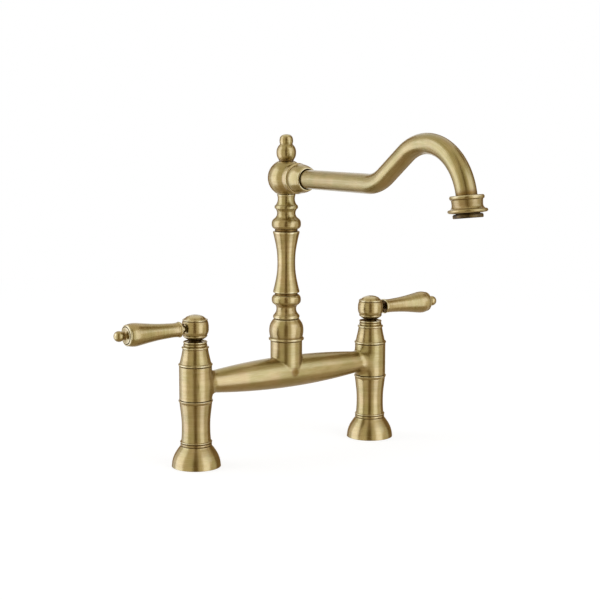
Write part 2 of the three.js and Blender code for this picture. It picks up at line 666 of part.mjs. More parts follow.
function lever(side, x, turn) {
  const group = new THREE.Group();
  group.position.x = x;
  group.rotation.z = turn;
  const arm = new THREE.Group();
  arm.position.z = LEVER_Z;
  arm.rotation.y = Math.PI / 2;
  group.add(arm);
  const clipBore = around(SPINDLE_R - CLIP_GROOVE_DEPTH, SMALL_SIDES);
  const clip = ring(clipBore, CLIP_R, CLIP_Z, CLIP_Z + CLIP_H, SMALL_SIDES);
  piece(group, side + "_valve_moving_disc", ceramicDisc(MOVING_DISC_Z, Math.PI / 2), CERAMIC);
  piece(group, side + "_valve_spindle", spindle(), INNER_BRASS);
  piece(group, side + "_spindle_clip", clip, STEEL);
  piece(group, side + "_lever_hub", leverHub(), BRASS);
  piece(group, side + "_hub_screw", hubScrew(), STEEL);
  piece(group, side + "_hub_cap", hubCap(), BRASS);
  piece(arm, side + "_lever_stud", leverStud(), INNER_BRASS);
  piece(arm, side + "_lever_handle", leverHandle(), BRASS);
  piece(arm, side + "_lever_finial", leverFinial(), BRASS);
  return group;
}

// ---- Bridge ----
function bridgeBody() {
  const half = PILLAR_PITCH / 2;
  const barrelFace = half - BARREL_R;
  const barrel = turned(
    new Outline()
      .moveTo(0, BARREL_Z)
      .lineTo(BARREL_R, BARREL_Z)
      .lineTo(BARREL_R, BARREL_TOP_Z)
      .lineTo(0, BARREL_TOP_Z),
  );
  const boss = turned(
    new Outline()
      .moveTo(0, BAR_Z)
      .lineTo(BOSS_R, BAR_Z)
      .lineTo(BOSS_R, BOSS_TOP_Z)
      .lineTo(0, BOSS_TOP_Z),
  );
  const flared = BAR_END_R + BAR_FLARE;
  const flareFoot = BAR_END_R + BAR_FLARE_FOOT;
  const flareStart = barrelFace - BAR_FLARE_L;
  const bar = turned(
    new Outline()
      .moveTo(0, -half)
      .lineTo(flared, -half)
      .lineTo(flared, -barrelFace)
      .quadraticCurveTo(BAR_END_R, -barrelFace, flareFoot, -flareStart)
      .round(BOSS_R, flareFoot, flareStart)
      .quadraticCurveTo(BAR_END_R, barrelFace, flared, barrelFace)
      .lineTo(flared, half)
      .lineTo(0, half),
    SIDES,
    BAR_STEPS,
  );
  bar.rotateY(Math.PI / 2).translate(0, 0, BAR_Z);
  const waterway = drill(BAR_BORE_R, -half, PILLAR_PITCH).rotateY(Math.PI / 2);
  waterway.translate(0, 0, BAR_Z);
  const barrelBore = drill(around(VALVE_R), BARREL_Z - OVERSHOOT, BARREL_H + 2 * OVERSHOOT, SIDES);
  const drillTop = BOSS_TOP_Z + OVERSHOOT;
  const spigotFloor = SPIGOT_Z - CLEARANCE;
  const skirtFloor = NUT_SKIRT_Z - CLEARANCE;
  const bossBore = drill(around(SPIGOT_R), spigotFloor, drillTop - spigotFloor, SIDES);
  const skirtBore = drill(around(NUT_SKIRT_R), skirtFloor, drillTop - skirtFloor, SIDES);
  const sides = [-half, half];
  const outside = sides.reduce(
    (body, x) => body.add(solidOf(barrel.clone().translate(x, 0, 0))),
    solidOf(bar).add(solidOf(boss)),
  );
  const barrelBores = sides.map((x) => barrelBore.clone().translate(x, 0, 0));
  return cut(geometryOf(outside), waterway, bossBore, skirtBore, ...barrelBores);
}

function swivelNut() {
  const bore = around(BUSH_R);
  const ringTop = NUT_Z + NUT_RING_H;
  const outline = new Outline()
    .moveTo(bore, NUT_SKIRT_Z)
    .lineTo(NUT_SKIRT_R, NUT_SKIRT_Z)
    .lineTo(NUT_SKIRT_R, NUT_Z)
    .lineTo(NUT_FOOT_R, NUT_Z)
    .round(NUT_RING_R, NUT_FOOT_R, ringTop)
    .quadraticCurveTo(NUT_R, (ringTop + NUT_WIDE_Z) / 2, NUT_R, NUT_WIDE_Z)
    .quadraticCurveTo(NUT_CORNER_R, NUT_WIDE_Z + NUT_CORNER_H, NUT_TOP_R, NUT_TOP_Z)
    .lineTo(bore, NUT_TOP_Z)
    .lineTo(bore, NUT_SKIRT_Z);
  return turned(outline, SIDES, FINE_STEPS);
}

// ---- Column: everything that swivels with the spout ----
function spigot() {
  const grooveR = SPIGOT_R - RING_GROOVE_DEPTH;
  const outline = new Outline().moveTo(SPIGOT_BORE_R, SPIGOT_Z).lineTo(SPIGOT_R, SPIGOT_Z);
  const grooves = [
    [SPIGOT_Z + RING_RISE, RING_GROOVE_H],
    [SPIGOT_Z + RING_RISE + RING_PITCH, RING_GROOVE_H],
    [SNAP_Z - CLEARANCE, SNAP_H + 2 * CLEARANCE],
  ];
  for (const [bottom, height] of grooves) {
    outline
      .lineTo(SPIGOT_R, bottom)
      .lineTo(grooveR, bottom)
      .lineTo(grooveR, bottom + height)
      .lineTo(SPIGOT_R, bottom + height);
  }
  outline
    .lineTo(SPIGOT_R, NUT_TOP_Z)
    .lineTo(SPIGOT_THREAD_R, NUT_TOP_Z)
    .lineTo(SPIGOT_THREAD_R, NUT_TOP_Z + SPIGOT_THREAD_H)
    .lineTo(SPIGOT_BORE_R, NUT_TOP_Z + SPIGOT_THREAD_H)
    .lineTo(SPIGOT_BORE_R, SPIGOT_Z);
  return turned(outline, SMALL_SIDES);
}

// The stack of turned members, each one resting on the one below it.
const LOWER_RING_Z = COLUMN_Z + FIRST_BEAD_H + LOWER_NECK_H + LOWER_FLARE_H;
const LOWER_TOP_Z = LOWER_RING_Z + RING_MEMBER_H + LOWER_GROOVE_H;
const SHAFT_Z = LOWER_TOP_Z + CLEARANCE;
const SHAFT_TOP_Z = SHAFT_Z + SHAFT_H;
const UPPER_Z = SHAFT_TOP_Z + CLEARANCE;
const UPPER_RING_Z = UPPER_Z + UPPER_GROOVE_H;
const THIN_BEAD_Z = UPPER_RING_Z + RING_MEMBER_H + UPPER_NECK_H + UPPER_FLARE_H;
const HEAD_NECK_Z = THIN_BEAD_Z + THIN_BEAD_H;
const UPPER_TOP_Z = HEAD_NECK_Z + HEAD_NECK_H + HEAD_FLARE_H;
const BALL_HUB_FOOT_Z = UPPER_TOP_Z + CLEARANCE;
const BALL_HUB_Z = BALL_HUB_FOOT_Z + Math.sqrt(BALL_HUB_R ** 2 - BALL_HUB_FOOT_R ** 2);
const BALL_HUB_TOP_Z = BALL_HUB_Z + Math.sqrt(BALL_HUB_R ** 2 - BALL_HUB_TOP_R ** 2);
const FINIAL_Z = BALL_HUB_TOP_Z + CLEARANCE;
const RISER_Z = NUT_TOP_Z + SPIGOT_THREAD_H + CLEARANCE;
const RISER_TOP_Z = BALL_HUB_FOOT_Z + RISER_ENTRY;

function lowerBaluster() {
  const bore = around(SPIGOT_THREAD_R);
  const neckZ = COLUMN_Z + FIRST_BEAD_H;
  const flareZ = neckZ + LOWER_NECK_H;
  const ringTop = LOWER_RING_Z + RING_MEMBER_H;
  const outline = new Outline()
    .moveTo(bore, COLUMN_Z)
    .lineTo(FIRST_BEAD_EDGE_R, COLUMN_Z)
    .round(FIRST_BEAD_R, FIRST_BEAD_EDGE_R, neckZ)
    .quadraticCurveTo(LOWER_NECK_R, neckZ + LOWER_NECK_H * HOLLOW_CORNER, LOWER_NECK_R, flareZ)
    .quadraticCurveTo(LOWER_NECK_R, LOWER_RING_Z, RING_EDGE_R, LOWER_RING_Z)
    .bezierCurveTo(...ringMember(LOWER_RING_Z))
    .lineTo(MEMBER_GROOVE_R, ringTop)
    .lineTo(MEMBER_GROOVE_R, LOWER_TOP_Z)
    .lineTo(bore, LOWER_TOP_Z)
    .lineTo(bore, COLUMN_Z);
  return turned(outline, SIDES, FINE_STEPS);
}

// The two corners and the end of the full, rounded ring that both balusters carry.
function ringMember(bottom) {
  const corner = RING_EDGE_R + RING_CORNER * (RING_MEMBER_R - RING_EDGE_R);
  const top = bottom + RING_MEMBER_H;
  return [corner, bottom, corner, top, RING_EDGE_R, top];
}

function spoutShaft() {
  const bore = around(RISER_R);
  const lipTop = SHAFT_Z + SHAFT_LIP_H;
  const lipBottom = SHAFT_TOP_Z - SHAFT_LIP_H;
  const middle = (SHAFT_Z + SHAFT_TOP_Z) / 2;
  const outline = new Outline()
    .moveTo(bore, SHAFT_Z)
    .lineTo(SHAFT_END_R, SHAFT_Z)
    .lineTo(SHAFT_EDGE_R, lipTop)
    .quadraticCurveTo(SHAFT_WAIST_R, (lipTop + middle) / 2, SHAFT_WAIST_R, middle)
    .quadraticCurveTo(SHAFT_WAIST_R, (lipBottom + middle) / 2, SHAFT_EDGE_R, lipBottom)
    .lineTo(SHAFT_END_R, SHAFT_TOP_Z)
    .lineTo(bore, SHAFT_TOP_Z)
    .lineTo(bore, SHAFT_Z);
  return turned(outline, SIDES, FINE_STEPS);
}

function upperBaluster() {
  const bore = around(RISER_R);
  const ringTop = UPPER_RING_Z + RING_MEMBER_H;
  const flareZ = ringTop + UPPER_NECK_H;
  const flareCorner = THIN_BEAD_Z - UPPER_FLARE_H * HOLLOW_CORNER;
  const headCorner = HEAD_NECK_Z + HEAD_NECK_H * HOLLOW_CORNER;
  const topCorner = UPPER_TOP_Z - HEAD_FLARE_H * HOLLOW_CORNER;
  const neckTop = HEAD_NECK_Z + HEAD_NECK_H;
  const outline = new Outline()
    .moveTo(bore, UPPER_Z)
    .lineTo(MEMBER_GROOVE_R, UPPER_Z)
    .lineTo(MEMBER_GROOVE_R, UPPER_RING_Z)
    .lineTo(RING_EDGE_R, UPPER_RING_Z)
    .bezierCurveTo(...ringMember(UPPER_RING_Z))
    .quadraticCurveTo(UPPER_NECK_R, ringTop, UPPER_NECK_R, flareZ)
    .quadraticCurveTo(UPPER_NECK_R, flareCorner, THIN_BEAD_EDGE_R, THIN_BEAD_Z)
    .round(THIN_BEAD_R, THIN_BEAD_EDGE_R, HEAD_NECK_Z)
    .quadraticCurveTo(HEAD_NECK_R, headCorner, HEAD_NECK_R, neckTop)
    .quadraticCurveTo(HEAD_NECK_R, topCorner, HEAD_FLARE_R, UPPER_TOP_Z)
    .lineTo(bore, UPPER_TOP_Z)
    .lineTo(bore, UPPER_Z);
  return turned(outline, SIDES, FINE_STEPS);
}

// The ball that the spout springs from, with a socket boss on its side and a seat on its crown.
function ballHub() {
  const foot = -Math.acos(BALL_HUB_FOOT_R / BALL_HUB_R);
  const crown = Math.acos(BALL_HUB_TOP_R / BALL_HUB_R);
  const outline = new Outline()
    .moveTo(0, BALL_HUB_FOOT_Z)
    .lineTo(BALL_HUB_FOOT_R, BALL_HUB_FOOT_Z)
    .absarc(0, BALL_HUB_Z, BALL_HUB_R, foot, crown)
    .lineTo(0, BALL_HUB_TOP_Z);
  const ball = turned(outline, SIDES, FINE_STEPS);
  const socket = towardsSpout(drill(SOCKET_R, 0, SOCKET_REACH, SIDES));
  const sideBore = towardsSpout(drill(BALL_HUB_WATERWAY_R, 0, SOCKET_REACH + OVERSHOOT));
  const riserDepth = RISER_ENTRY + CLEARANCE + OVERSHOOT;
  const riserBore = drill(around(RISER_R), BALL_HUB_FOOT_Z - OVERSHOOT, riserDepth);
  const waterway = drill(BALL_HUB_WATERWAY_R, BALL_HUB_FOOT_Z, BALL_HUB_Z - BALL_HUB_FOOT_Z);
  const studR = around(FINIAL_STUD_R, SMALL_SIDES);
  const studDepth = FINIAL_STUD_L + CLEARANCE;
  const studBore = drill(studR, BALL_HUB_TOP_Z - studDepth, studDepth + OVERSHOOT);
  const outside = geometryOf(solidOf(ball).add(solidOf(socket)));
  return cut(outside, sideBore, riserBore, waterway, studBore);
}

// Lays a piece that was drawn along +Z on the spout's first stretch, from the ball hub's centre.
function towardsSpout(geometry) {
  return geometry.rotateX(Math.PI / 2 - TUBE_RISE_ANGLE).translate(0, 0, BALL_HUB_Z);
}

function columnFinial() {
  const ballZ = FINIAL_Z + FINIAL_FOOT_H;
  const tipZ = ballZ + FINIAL_BALL_H;
  const middle = tipZ + FINIAL_TIP_H / 2;
  const top = tipZ + FINIAL_TIP_H;
  const studZ = BALL_HUB_TOP_Z - FINIAL_STUD_L;
  const outline = new Outline()
    .moveTo(0, studZ)
    .lineTo(FINIAL_STUD_R, studZ)
    .lineTo(FINIAL_STUD_R, FINIAL_Z)
    .lineTo(FINIAL_FOOT_R, FINIAL_Z)
    .lineTo(FINIAL_FOOT_R, ballZ)
    .round(FINIAL_BALL_R, FINIAL_WAIST_R, tipZ)
    .quadraticCurveTo(FINIAL_TIP_R, (tipZ + middle) / 2, FINIAL_TIP_R, middle)
    .quadraticCurveTo(FINIAL_CROWN_R, top, 0, top);
  return turned(outline, SIDES, FINE_STEPS);
}

function spoutFerrule() {
  const start = SOCKET_REACH + CLEARANCE;
  const beadEnd = start + FERRULE_BEAD_L;
  const end = start + FERRULE_L;
  const bore = around(TUBE_R);
  const outline = new Outline()
    .moveTo(bore, start)
    .lineTo(FERRULE_EDGE_R, start)
    .round(FERRULE_BEAD_R, FERRULE_EDGE_R, beadEnd)
    .quadraticCurveTo(FERRULE_EDGE_R, start + FERRULE_CORNER_L, FERRULE_END_R, end)
    .lineTo(bore, end)
    .lineTo(bore, start);
  return towardsSpout(turned(outline, SIDES, FINE_STEPS));
}

// A round bend in the upright plane of the spout. A heading is an angle above the horizontal.
class Bend extends THREE.Curve {
  constructor(from, radius, heading, angle) {
    super();
    this.side = Math.sign(angle);
    this.radius = radius;
    this.heading = heading;
    this.angle = angle;
    this.centre = from.clone().addScaledVector(upFrom(heading), this.side * radius);
  }

  getPoint(t, target = new THREE.Vector3()) {
    const up = upFrom(this.heading + t * this.angle);
    return target.copy(this.centre).addScaledVector(up, -this.side * this.radius);
  }
}

function aheadAt(heading) {
  return new THREE.Vector3(0, -Math.cos(heading), Math.sin(heading));
}

function upFrom(heading) {
  return new THREE.Vector3(0, Math.sin(heading), Math.cos(heading));
}

// The spout's centre line, walked one straight or bend at a time.
class SpoutLine extends THREE.CurvePath {
  constructor(start, heading) {
    super();
    this.end = start;
    this.heading = heading;
  }

  straight(length) {
    const next = this.end.clone().addScaledVector(aheadAt(this.heading), length);
    this.add(new THREE.LineCurve3(this.end, next));
    this.end = next;
    return this;
  }

  bend(radius, angle) {
    const curve = new Bend(this.end, radius, this.heading, angle);
    this.add(curve);
    this.end = curve.getPoint(1);
    this.heading += angle;
    return this;
  }
}

function spoutLine() {
  const centre = new THREE.Vector3(0, 0, BALL_HUB_Z);
  const start = centre.addScaledVector(aheadAt(TUBE_RISE_ANGLE), SOCKET_REACH + CLEARANCE);
  return new SpoutLine(start, TUBE_RISE_ANGLE)
    .straight(TUBE_RUN)
    .bend(TUBE_SWEEP_R, TUBE_SWEEP_ANGLE)
    .straight(TUBE_CLIMB)
    .bend(TUBE_HOOK_R, -TUBE_HOOK_ANGLE);
}

function spoutTube() {
  const section = new THREE.Shape().absarc(0, 0, TUBE_R, 0, 2 * Math.PI);
  section.holes.push(new THREE.Path().absarc(0, 0, TUBE_R - TUBE_WALL, 0, 2 * Math.PI, true));
  return new THREE.ExtrudeGeometry(section, {
    extrudePath: spoutLine().straight(TUBE_ENTRY),
    steps: TUBE_STEPS,
    curveSegments: SMALL_SIDES / 2,
  });
}

// ---- Outlet, drawn with the water running along +Z ----
const OUTLET_BACK = -OUTLET_LIP_H / 2;
const OUTLET_FLANGE_Z = OUTLET_BACK + OUTLET_LIP_H + OUTLET_WAIST_H;
const OUTLET_END = OUTLET_FLANGE_Z + OUTLET_FLANGE_H;
const TUBE_SEAT_END = TUBE_ENTRY + CLEARANCE;
const WASHER_START = TUBE_SEAT_END + CLEARANCE;
const AERATOR_START = WASHER_START + WASHER_H + CLEARANCE;
const AERATOR_END = OUTLET_END + CLEARANCE + AERATOR_RIM_H;

function outletCollar() {
  const tubeBore = around(TUBE_R);
  const threadBore = around(AERATOR_THREAD_R);
  const lipEnd = OUTLET_BACK + OUTLET_LIP_H;
  const outline = new Outline()
    .moveTo(tubeBore, OUTLET_BACK)
    .lineTo(OUTLET_LIP_EDGE_R, OUTLET_BACK)
    .round(OUTLET_LIP_R, OUTLET_LIP_EDGE_R, lipEnd)
    .round(OUTLET_WAIST_R, OUTLET_LIP_EDGE_R, OUTLET_FLANGE_Z)
    .lineTo(OUTLET_FLANGE_EDGE_R, OUTLET_FLANGE_Z)
    .round(OUTLET_FLANGE_R, OUTLET_FLANGE_EDGE_R, OUTLET_END)
    .lineTo(threadBore, OUTLET_END)
    .lineTo(threadBore, TUBE_SEAT_END)
    .lineTo(tubeBore, TUBE_SEAT_END)
    .lineTo(tubeBore, OUTLET_BACK);
  return turned(outline, SIDES, FINE_STEPS);
}

function aeratorHousing() {
  const bore = around(INSERT_R);
  const rimZ = OUTLET_END + CLEARANCE;
  const outline = new Outline()
    .moveTo(bore, AERATOR_START)
    .lineTo(AERATOR_THREAD_R, AERATOR_START)
    .lineTo(AERATOR_THREAD_R, rimZ)
    .lineTo(AERATOR_R, rimZ)
    .lineTo(AERATOR_R, AERATOR_END)
    .lineTo(bore, AERATOR_END)
    .lineTo(bore, AERATOR_START);
  return turned(outline);
}

function aeratorInsert() {
  const start = AERATOR_START + CLEARANCE;
  const height = AERATOR_END - INSERT_RECESS - start;
  const jets = Array.from({ length: JETS }, (_, i) =>
    drill(JET_R, start - OVERSHOOT, height + 2 * OVERSHOOT, SMALL_SIDES / 2)
      .translate(JET_CIRCLE_R, 0, 0)
      .rotateZ((2 * Math.PI * i) / JETS),
  );
  return cut(drill(INSERT_R, start, height), ...jets);
}

function spout() {
  const group = new THREE.Group();
  const grooveR = SPIGOT_R - RING_GROOVE_DEPTH;
  const lowerSealZ = SPIGOT_Z + RING_RISE;
  const lowerSeal = sealRing(grooveR, SPIGOT_R, lowerSealZ, RING_GROOVE_H);
  const upperSeal = lowerSeal.clone().translate(0, 0, RING_PITCH);
  const snapRing = ring(around(grooveR, SMALL_SIDES), SNAP_R, SNAP_Z, SNAP_Z + SNAP_H, SMALL_SIDES);
  const riser = ring(RISER_R - RISER_WALL, RISER_R, RISER_Z, RISER_TOP_Z, SMALL_SIDES);
  piece(group, "spout_spigot", spigot(), INNER_BRASS);
  piece(group, "spigot_seal_ring_lower", lowerSeal, RUBBER);
  piece(group, "spigot_seal_ring_upper", upperSeal, RUBBER);
  piece(group, "spigot_snap_ring", snapRing, STEEL);
  piece(group, "spout_riser", riser, INNER_BRASS);
  piece(group, "column_lower_baluster", lowerBaluster(), BRASS);
  piece(group, "column_shaft", spoutShaft(), BRASS);
  piece(group, "column_upper_baluster", upperBaluster(), BRASS);
  piece(group, "column_ball_hub", ballHub(), BRASS);
  piece(group, "column_finial", columnFinial(), BRASS);
  piece(group, "spout_ferrule", spoutFerrule(), BRASS);
  piece(group, "spout_tube", spoutTube(), BRASS);

  const line = spoutLine();
  const outlet = new THREE.Group();
  outlet.position.copy(line.end);
  outlet.rotation.x = Math.PI / 2 - line.heading;
  group.add(outlet);
  const washerR = AERATOR_THREAD_R;
  const washer = ring(WASHER_BORE_R, washerR, WASHER_START, WASHER_START + WASHER_H, SMALL_SIDES);
  piece(outlet, "outlet_collar", outletCollar(), BRASS);
  piece(outlet, "aerator_washer", washer, RUBBER);
  piece(outlet, "aerator_housing", aeratorHousing(), DARK_PLASTIC);
  piece(outlet, "aerator_insert", aeratorInsert(), DARK_PLASTIC);
  return group;
}

function faucet() {
  const group = new THREE.Group();
  const half = PILLAR_PITCH / 2;
  const bush = ring(around(SPIGOT_R), BUSH_R, BUSH_Z, BUSH_Z + BUSH_H);
  piece(group, "bridge_body", bridgeBody(), BRASS);
  piece(group, "swivel_nut", swivelNut(), BRASS);
  piece(group, "swivel_bush", bush, NYLON);
  group.add(pillar("left", -half), pillar("right", half));
  group.add(lever("left", -half, Math.PI), lever("right", half, 0));
  group.add(spout());
  return group;
}

export default faucet();
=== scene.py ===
# %% [markdown]
# # A bridge kitchen faucet in brushed antique brass
# Two pillars stand on the deck and a tapered bar bridges them. Each pillar carries a valve with a
# side lever, and a turned column with a hooked spout swivels on the middle of the bar.
# The CAD model gives the frame: where each piece sits, and which body it moves with. This lesson
# dresses it, so every turned member gets its fine outline and every surface gets its finish.
# Lengths are written in millimetres and turned into Blender's metres in one place.

# %% Load the measured model
import math

import bpy
import numpy as np
from mathutils import Matrix, Vector


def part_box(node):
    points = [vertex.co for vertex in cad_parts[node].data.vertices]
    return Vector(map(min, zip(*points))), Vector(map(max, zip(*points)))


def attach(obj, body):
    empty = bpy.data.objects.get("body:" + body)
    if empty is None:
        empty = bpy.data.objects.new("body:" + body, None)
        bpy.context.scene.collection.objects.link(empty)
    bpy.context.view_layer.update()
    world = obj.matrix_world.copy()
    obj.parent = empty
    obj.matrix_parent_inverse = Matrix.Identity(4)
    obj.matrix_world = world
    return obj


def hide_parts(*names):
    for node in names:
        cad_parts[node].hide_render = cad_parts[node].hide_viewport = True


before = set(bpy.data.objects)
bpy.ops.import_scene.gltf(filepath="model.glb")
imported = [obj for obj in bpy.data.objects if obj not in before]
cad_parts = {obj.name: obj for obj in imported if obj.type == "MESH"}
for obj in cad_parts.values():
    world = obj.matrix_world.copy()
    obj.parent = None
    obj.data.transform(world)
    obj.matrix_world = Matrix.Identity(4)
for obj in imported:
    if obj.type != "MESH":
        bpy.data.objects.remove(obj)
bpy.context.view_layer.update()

MM = 0.001

# %% [markdown]
# ## The camera
# The camera was fitted to the photograph. It stands on the left, a little above the bar, with a
# long lens. Placing it first lets every later step be judged in the photograph's own view.

# %% Place the camera
RIGHTWARD = Vector((0.8146, -0.5800, 0.0014))
BACKWARD = Vector((-0.5732, -0.8051, 0.1526))
CAMERA_PLACE = Vector((-732.4, -1048.6, 327.1)) * MM
LENS, SENSOR = 92.26, 36  # mm

deck_camera = bpy.data.cameras.new("camera")
deck_camera.lens, deck_camera.sensor_width = LENS, SENSOR
camera = bpy.data.objects.new("camera", deck_camera)
bpy.context.scene.collection.objects.link(camera)
upward = BACKWARD.cross(RIGHTWARD).normalized()
turn_to_view = Matrix((upward.cross(BACKWARD), upward, BACKWARD)).transposed().to_4x4()
camera.matrix_world = Matrix.Translation(CAMERA_PLACE) @ turn_to_view
bpy.context.scene.camera = camera
print("camera at", CAMERA_PLACE, "with a", deck_camera.lens, "mm lens")

# %% [markdown]
# ## Turning on a lathe
# Nearly every piece is turned: a cutter follows an outline while the brass spins. Here a plane is
# merged to one point, the point is extruded along the outline, sharp corners are bevelled as a
# lathe hand breaks an edge, and the spin operator turns the wire into a solid. An outline is a list
# of (radius, height) pairs. It runs up the outside and back down the bore, so walls have their
# thickness.

# %% Words for drawing outlines
SPIN_STEPS = 96
BROKEN_EDGE = 0.16  # mm, the small round that a lathe hand leaves on an edge
WELD = MM / 500  # points nearer than this become one
SMOOTH_BELOW, CORNER_ABOVE = math.radians(32), math.radians(28)


def smooth(*knots, fineness=5):
    """Points of one natural spline through the given (radius, height) knots."""
    knots = np.array(knots, float)
    reach = np.concatenate([[0], np.cumsum(np.linalg.norm(np.diff(knots, axis=0), axis=1))])
    count = len(knots)
    gaps = np.diff(reach)
    system, right = np.eye(count), np.zeros((count, 2))
    for i in range(1, count - 1):
        system[i, i - 1 : i + 2] = gaps[i - 1], 2 * (gaps[i - 1] + gaps[i]), gaps[i]
        rises = np.diff(knots[i - 1 : i + 2], axis=0) / gaps[i - 1 : i + 1, None]
        right[i] = 6 * (rises[1] - rises[0])
    bend = np.linalg.solve(system, right)
    points = []
    for i in range(count - 1):
        for t in np.arange(fineness) / fineness:
            a, b, g = 1 - t, t, gaps[i] ** 2 / 6
            curved = (a**3 - a) * bend[i] + (b**3 - b) * bend[i + 1]
            points.append(tuple(a * knots[i] + b * knots[i + 1] + g * curved))
    return points + [tuple(knots[-1])]


def bead(start, peak, end, fineness=8):
    """A half-round swelling from start to end that reaches the radius peak halfway."""
    (r0, h0), (r1, h1) = start, end
    points = []
    for i in range(fineness + 1):
        angle = math.pi * i / fineness
        t = (1 - math.cos(angle)) / 2
        swell = (peak - (r0 + r1) / 2) * math.sin(angle)
        points.append((r0 + (r1 - r0) * t + swell, h0 + (h1 - h0) * t))
    return points


def arc(centre_h, radius, start_angle, end_angle, fineness=20):
    """Part of a ball's outline whose centre lies on the axis."""
    angles = np.linspace(start_angle, end_angle, fineness + 1)
    return [(radius * math.cos(a), centre_h + radius * math.sin(a)) for a in angles]


hollow = smooth((9, 0), (8, 2), (9, 4), fineness=2)
print("a smooth hollow:", [tuple(round(v, 2) for v in p) for p in hollow])

# %% Words for the lathe itself
def edit_all():
    bpy.ops.object.mode_set(mode="EDIT")
    bpy.ops.mesh.select_all(action="SELECT")


def close_skin():
    """Welds what lies together, turns all faces outwards and ends the editing."""
    bpy.ops.mesh.select_all(action="SELECT")
    bpy.ops.mesh.remove_doubles(threshold=WELD)
    bpy.ops.mesh.normals_make_consistent(inside=False)
    bpy.ops.object.mode_set(mode="OBJECT")


def nothing_selected():
    if bpy.context.object and bpy.context.object.mode != "OBJECT":
        bpy.ops.object.mode_set(mode="OBJECT")
    bpy.ops.object.select_all(action="DESELECT")


def points_of(mesh):
    """A mesh's points in metres, one to a row."""
    points = np.empty(len(mesh.vertices) * 3)
    mesh.vertices.foreach_get("co", points)
    return points.reshape(-1, 3)


class Lathe:
    """Where a row of turned pieces has its axis, and which way their radius is drawn."""

    def __init__(self, foot, along, across):
        self.foot, self.along, self.across = Vector(foot), Vector(along), Vector(across)
        self.outlines = []

    def at(self, radius, height):
        return self.foot + (self.across * radius + self.along * height) * MM

    def measure(self, mesh):
        """How far each point lies from the foot, its radius and its height, in mm."""
        offsets = (points_of(mesh) - np.array(self.foot)) / MM
        heights = offsets @ np.array(self.along)
        radii = np.linalg.norm(offsets - heights[:, None] * np.array(self.along), axis=1)
        return offsets, radii, heights


def is_corner(outline, i):
    """Whether the outline turns sharply at point i, away from the axis."""
    closed = outline[0] == outline[-1]
    if not closed and i in (0, len(outline) - 1):
        return False
    before = outline[i - 1] if i else outline[-2]
    after = outline[i + 1] if i + 1 < len(outline) else outline[1]
    a = math.atan2(outline[i][1] - before[1], outline[i][0] - before[0])
    b = math.atan2(after[1] - outline[i][1], after[0] - outline[i][0])
    turn = abs((b - a + math.pi) % (2 * math.pi) - math.pi)
    return turn > CORNER_ABOVE and outline[i][0] > 0.5


def turned(name, lathe, outline, steps=SPIN_STEPS, edge=BROKEN_EDGE, seen=True):
    """One solid turned on the lathe from a closed outline, or from one that ends on the axis."""
    nothing_selected()
    bpy.ops.mesh.primitive_plane_add(size=MM, location=lathe.at(*outline[0]))
    piece = bpy.context.object
    piece.name = piece.data.name = name
    bpy.ops.object.transform_apply(location=True, rotation=True, scale=True)
    edit_all()
    bpy.ops.mesh.merge(type="CENTER")
    for here, there in zip(outline, outline[1:]):
        stride = lathe.at(*there) - lathe.at(*here)
        bpy.ops.mesh.extrude_vertices_move(TRANSFORM_OT_translate={"value": stride})
    bpy.ops.mesh.select_all(action="SELECT")
    bpy.ops.mesh.remove_doubles(threshold=WELD)
    corners = [lathe.at(*outline[i]) for i in range(len(outline) - 1) if is_corner(outline, i)]
    break_edges(piece, corners, edge)
    bpy.ops.mesh.select_all(action="SELECT")
    bpy.ops.mesh.spin(
        steps=steps, angle=2 * math.pi, center=lathe.foot, axis=lathe.along, use_auto_merge=True
    )
    close_skin()
    bpy.ops.object.shade_smooth_by_angle(angle=SMOOTH_BELOW)
    if seen:
        lathe.outlines.append(outline)
    print(name, "is turned:", len(piece.data.vertices), "points")
    return piece


def roughed(name, lathe, outline):
    """A turned solid with sharp edges, which the marks for the finish leave out."""
    return turned(name, lathe, outline, edge=0, seen=False)


def break_edges(piece, corners, width):
    """Bevels the outline's wire at the given corners."""
    bpy.ops.mesh.select_all(action="DESELECT")
    bpy.ops.object.mode_set(mode="OBJECT")
    for vertex in piece.data.vertices:
        vertex.select = any((vertex.co - corner).length < MM / 200 for corner in corners)
    bpy.ops.object.mode_set(mode="EDIT")
    if corners and width:
        bpy.ops.mesh.bevel(offset=width * MM, segments=2, affect="VERTICES")


# %% Where the lathes stand
def middle(node):
    low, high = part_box(node)
    return (low + high) / 2


PILLAR_X = middle("right_leg").x
LEVER_Z = middle("right_lever_handle").z
BAR_Z = 68.4 * MM
BALL_Z = 232.482 * MM
SPOUT_RISE = math.radians(1.05)
SPOUT_AHEAD = Vector((0, -math.cos(SPOUT_RISE), math.sin(SPOUT_RISE)))

pillar = Lathe((PILLAR_X, 0, 0), (0, 0, 1), (1, 0, 0))
column = Lathe((0, 0, 0), (0, 0, 1), (1, 0, 0))
lever = Lathe((PILLAR_X, 0, LEVER_Z), (1, 0, 0), (0, 0, 1))
crossbar = Lathe((0, 0, BAR_Z), (1, 0, 0), (0, 0, 1))
spout_root = Lathe((0, 0, BALL_Z), SPOUT_AHEAD, (1, 0, 0))
print("pillars at x =", round(PILLAR_X / MM, 2), "mm, levers at z =", round(LEVER_Z / MM, 2), "mm")

# %% [markdown]
# ## The foot of a pillar
# A bell-shaped flange covers the tap hole. It is a thin turned shell, so its outline runs up the
# outside, over a short sleeve that grips the leg, and down the inside to a crisp lower edge.

# %% Turn the base flange
base_flange = turned("right_flange", pillar, [
    (20.15, 0.0), *smooth((20.15, 0.3), (19.5, 5.0), (17.6, 10.2), (15.1, 14.3), (13.15, 16.95)),
    (12.95, 17.42), (12.15, 17.42), (12.15, 13.2),
    *smooth((12.4, 13.1), (15.4, 10.0), (17.3, 6.2), (18.0, 2.3)), (18.0, 0.0), (20.15, 0.0),
])

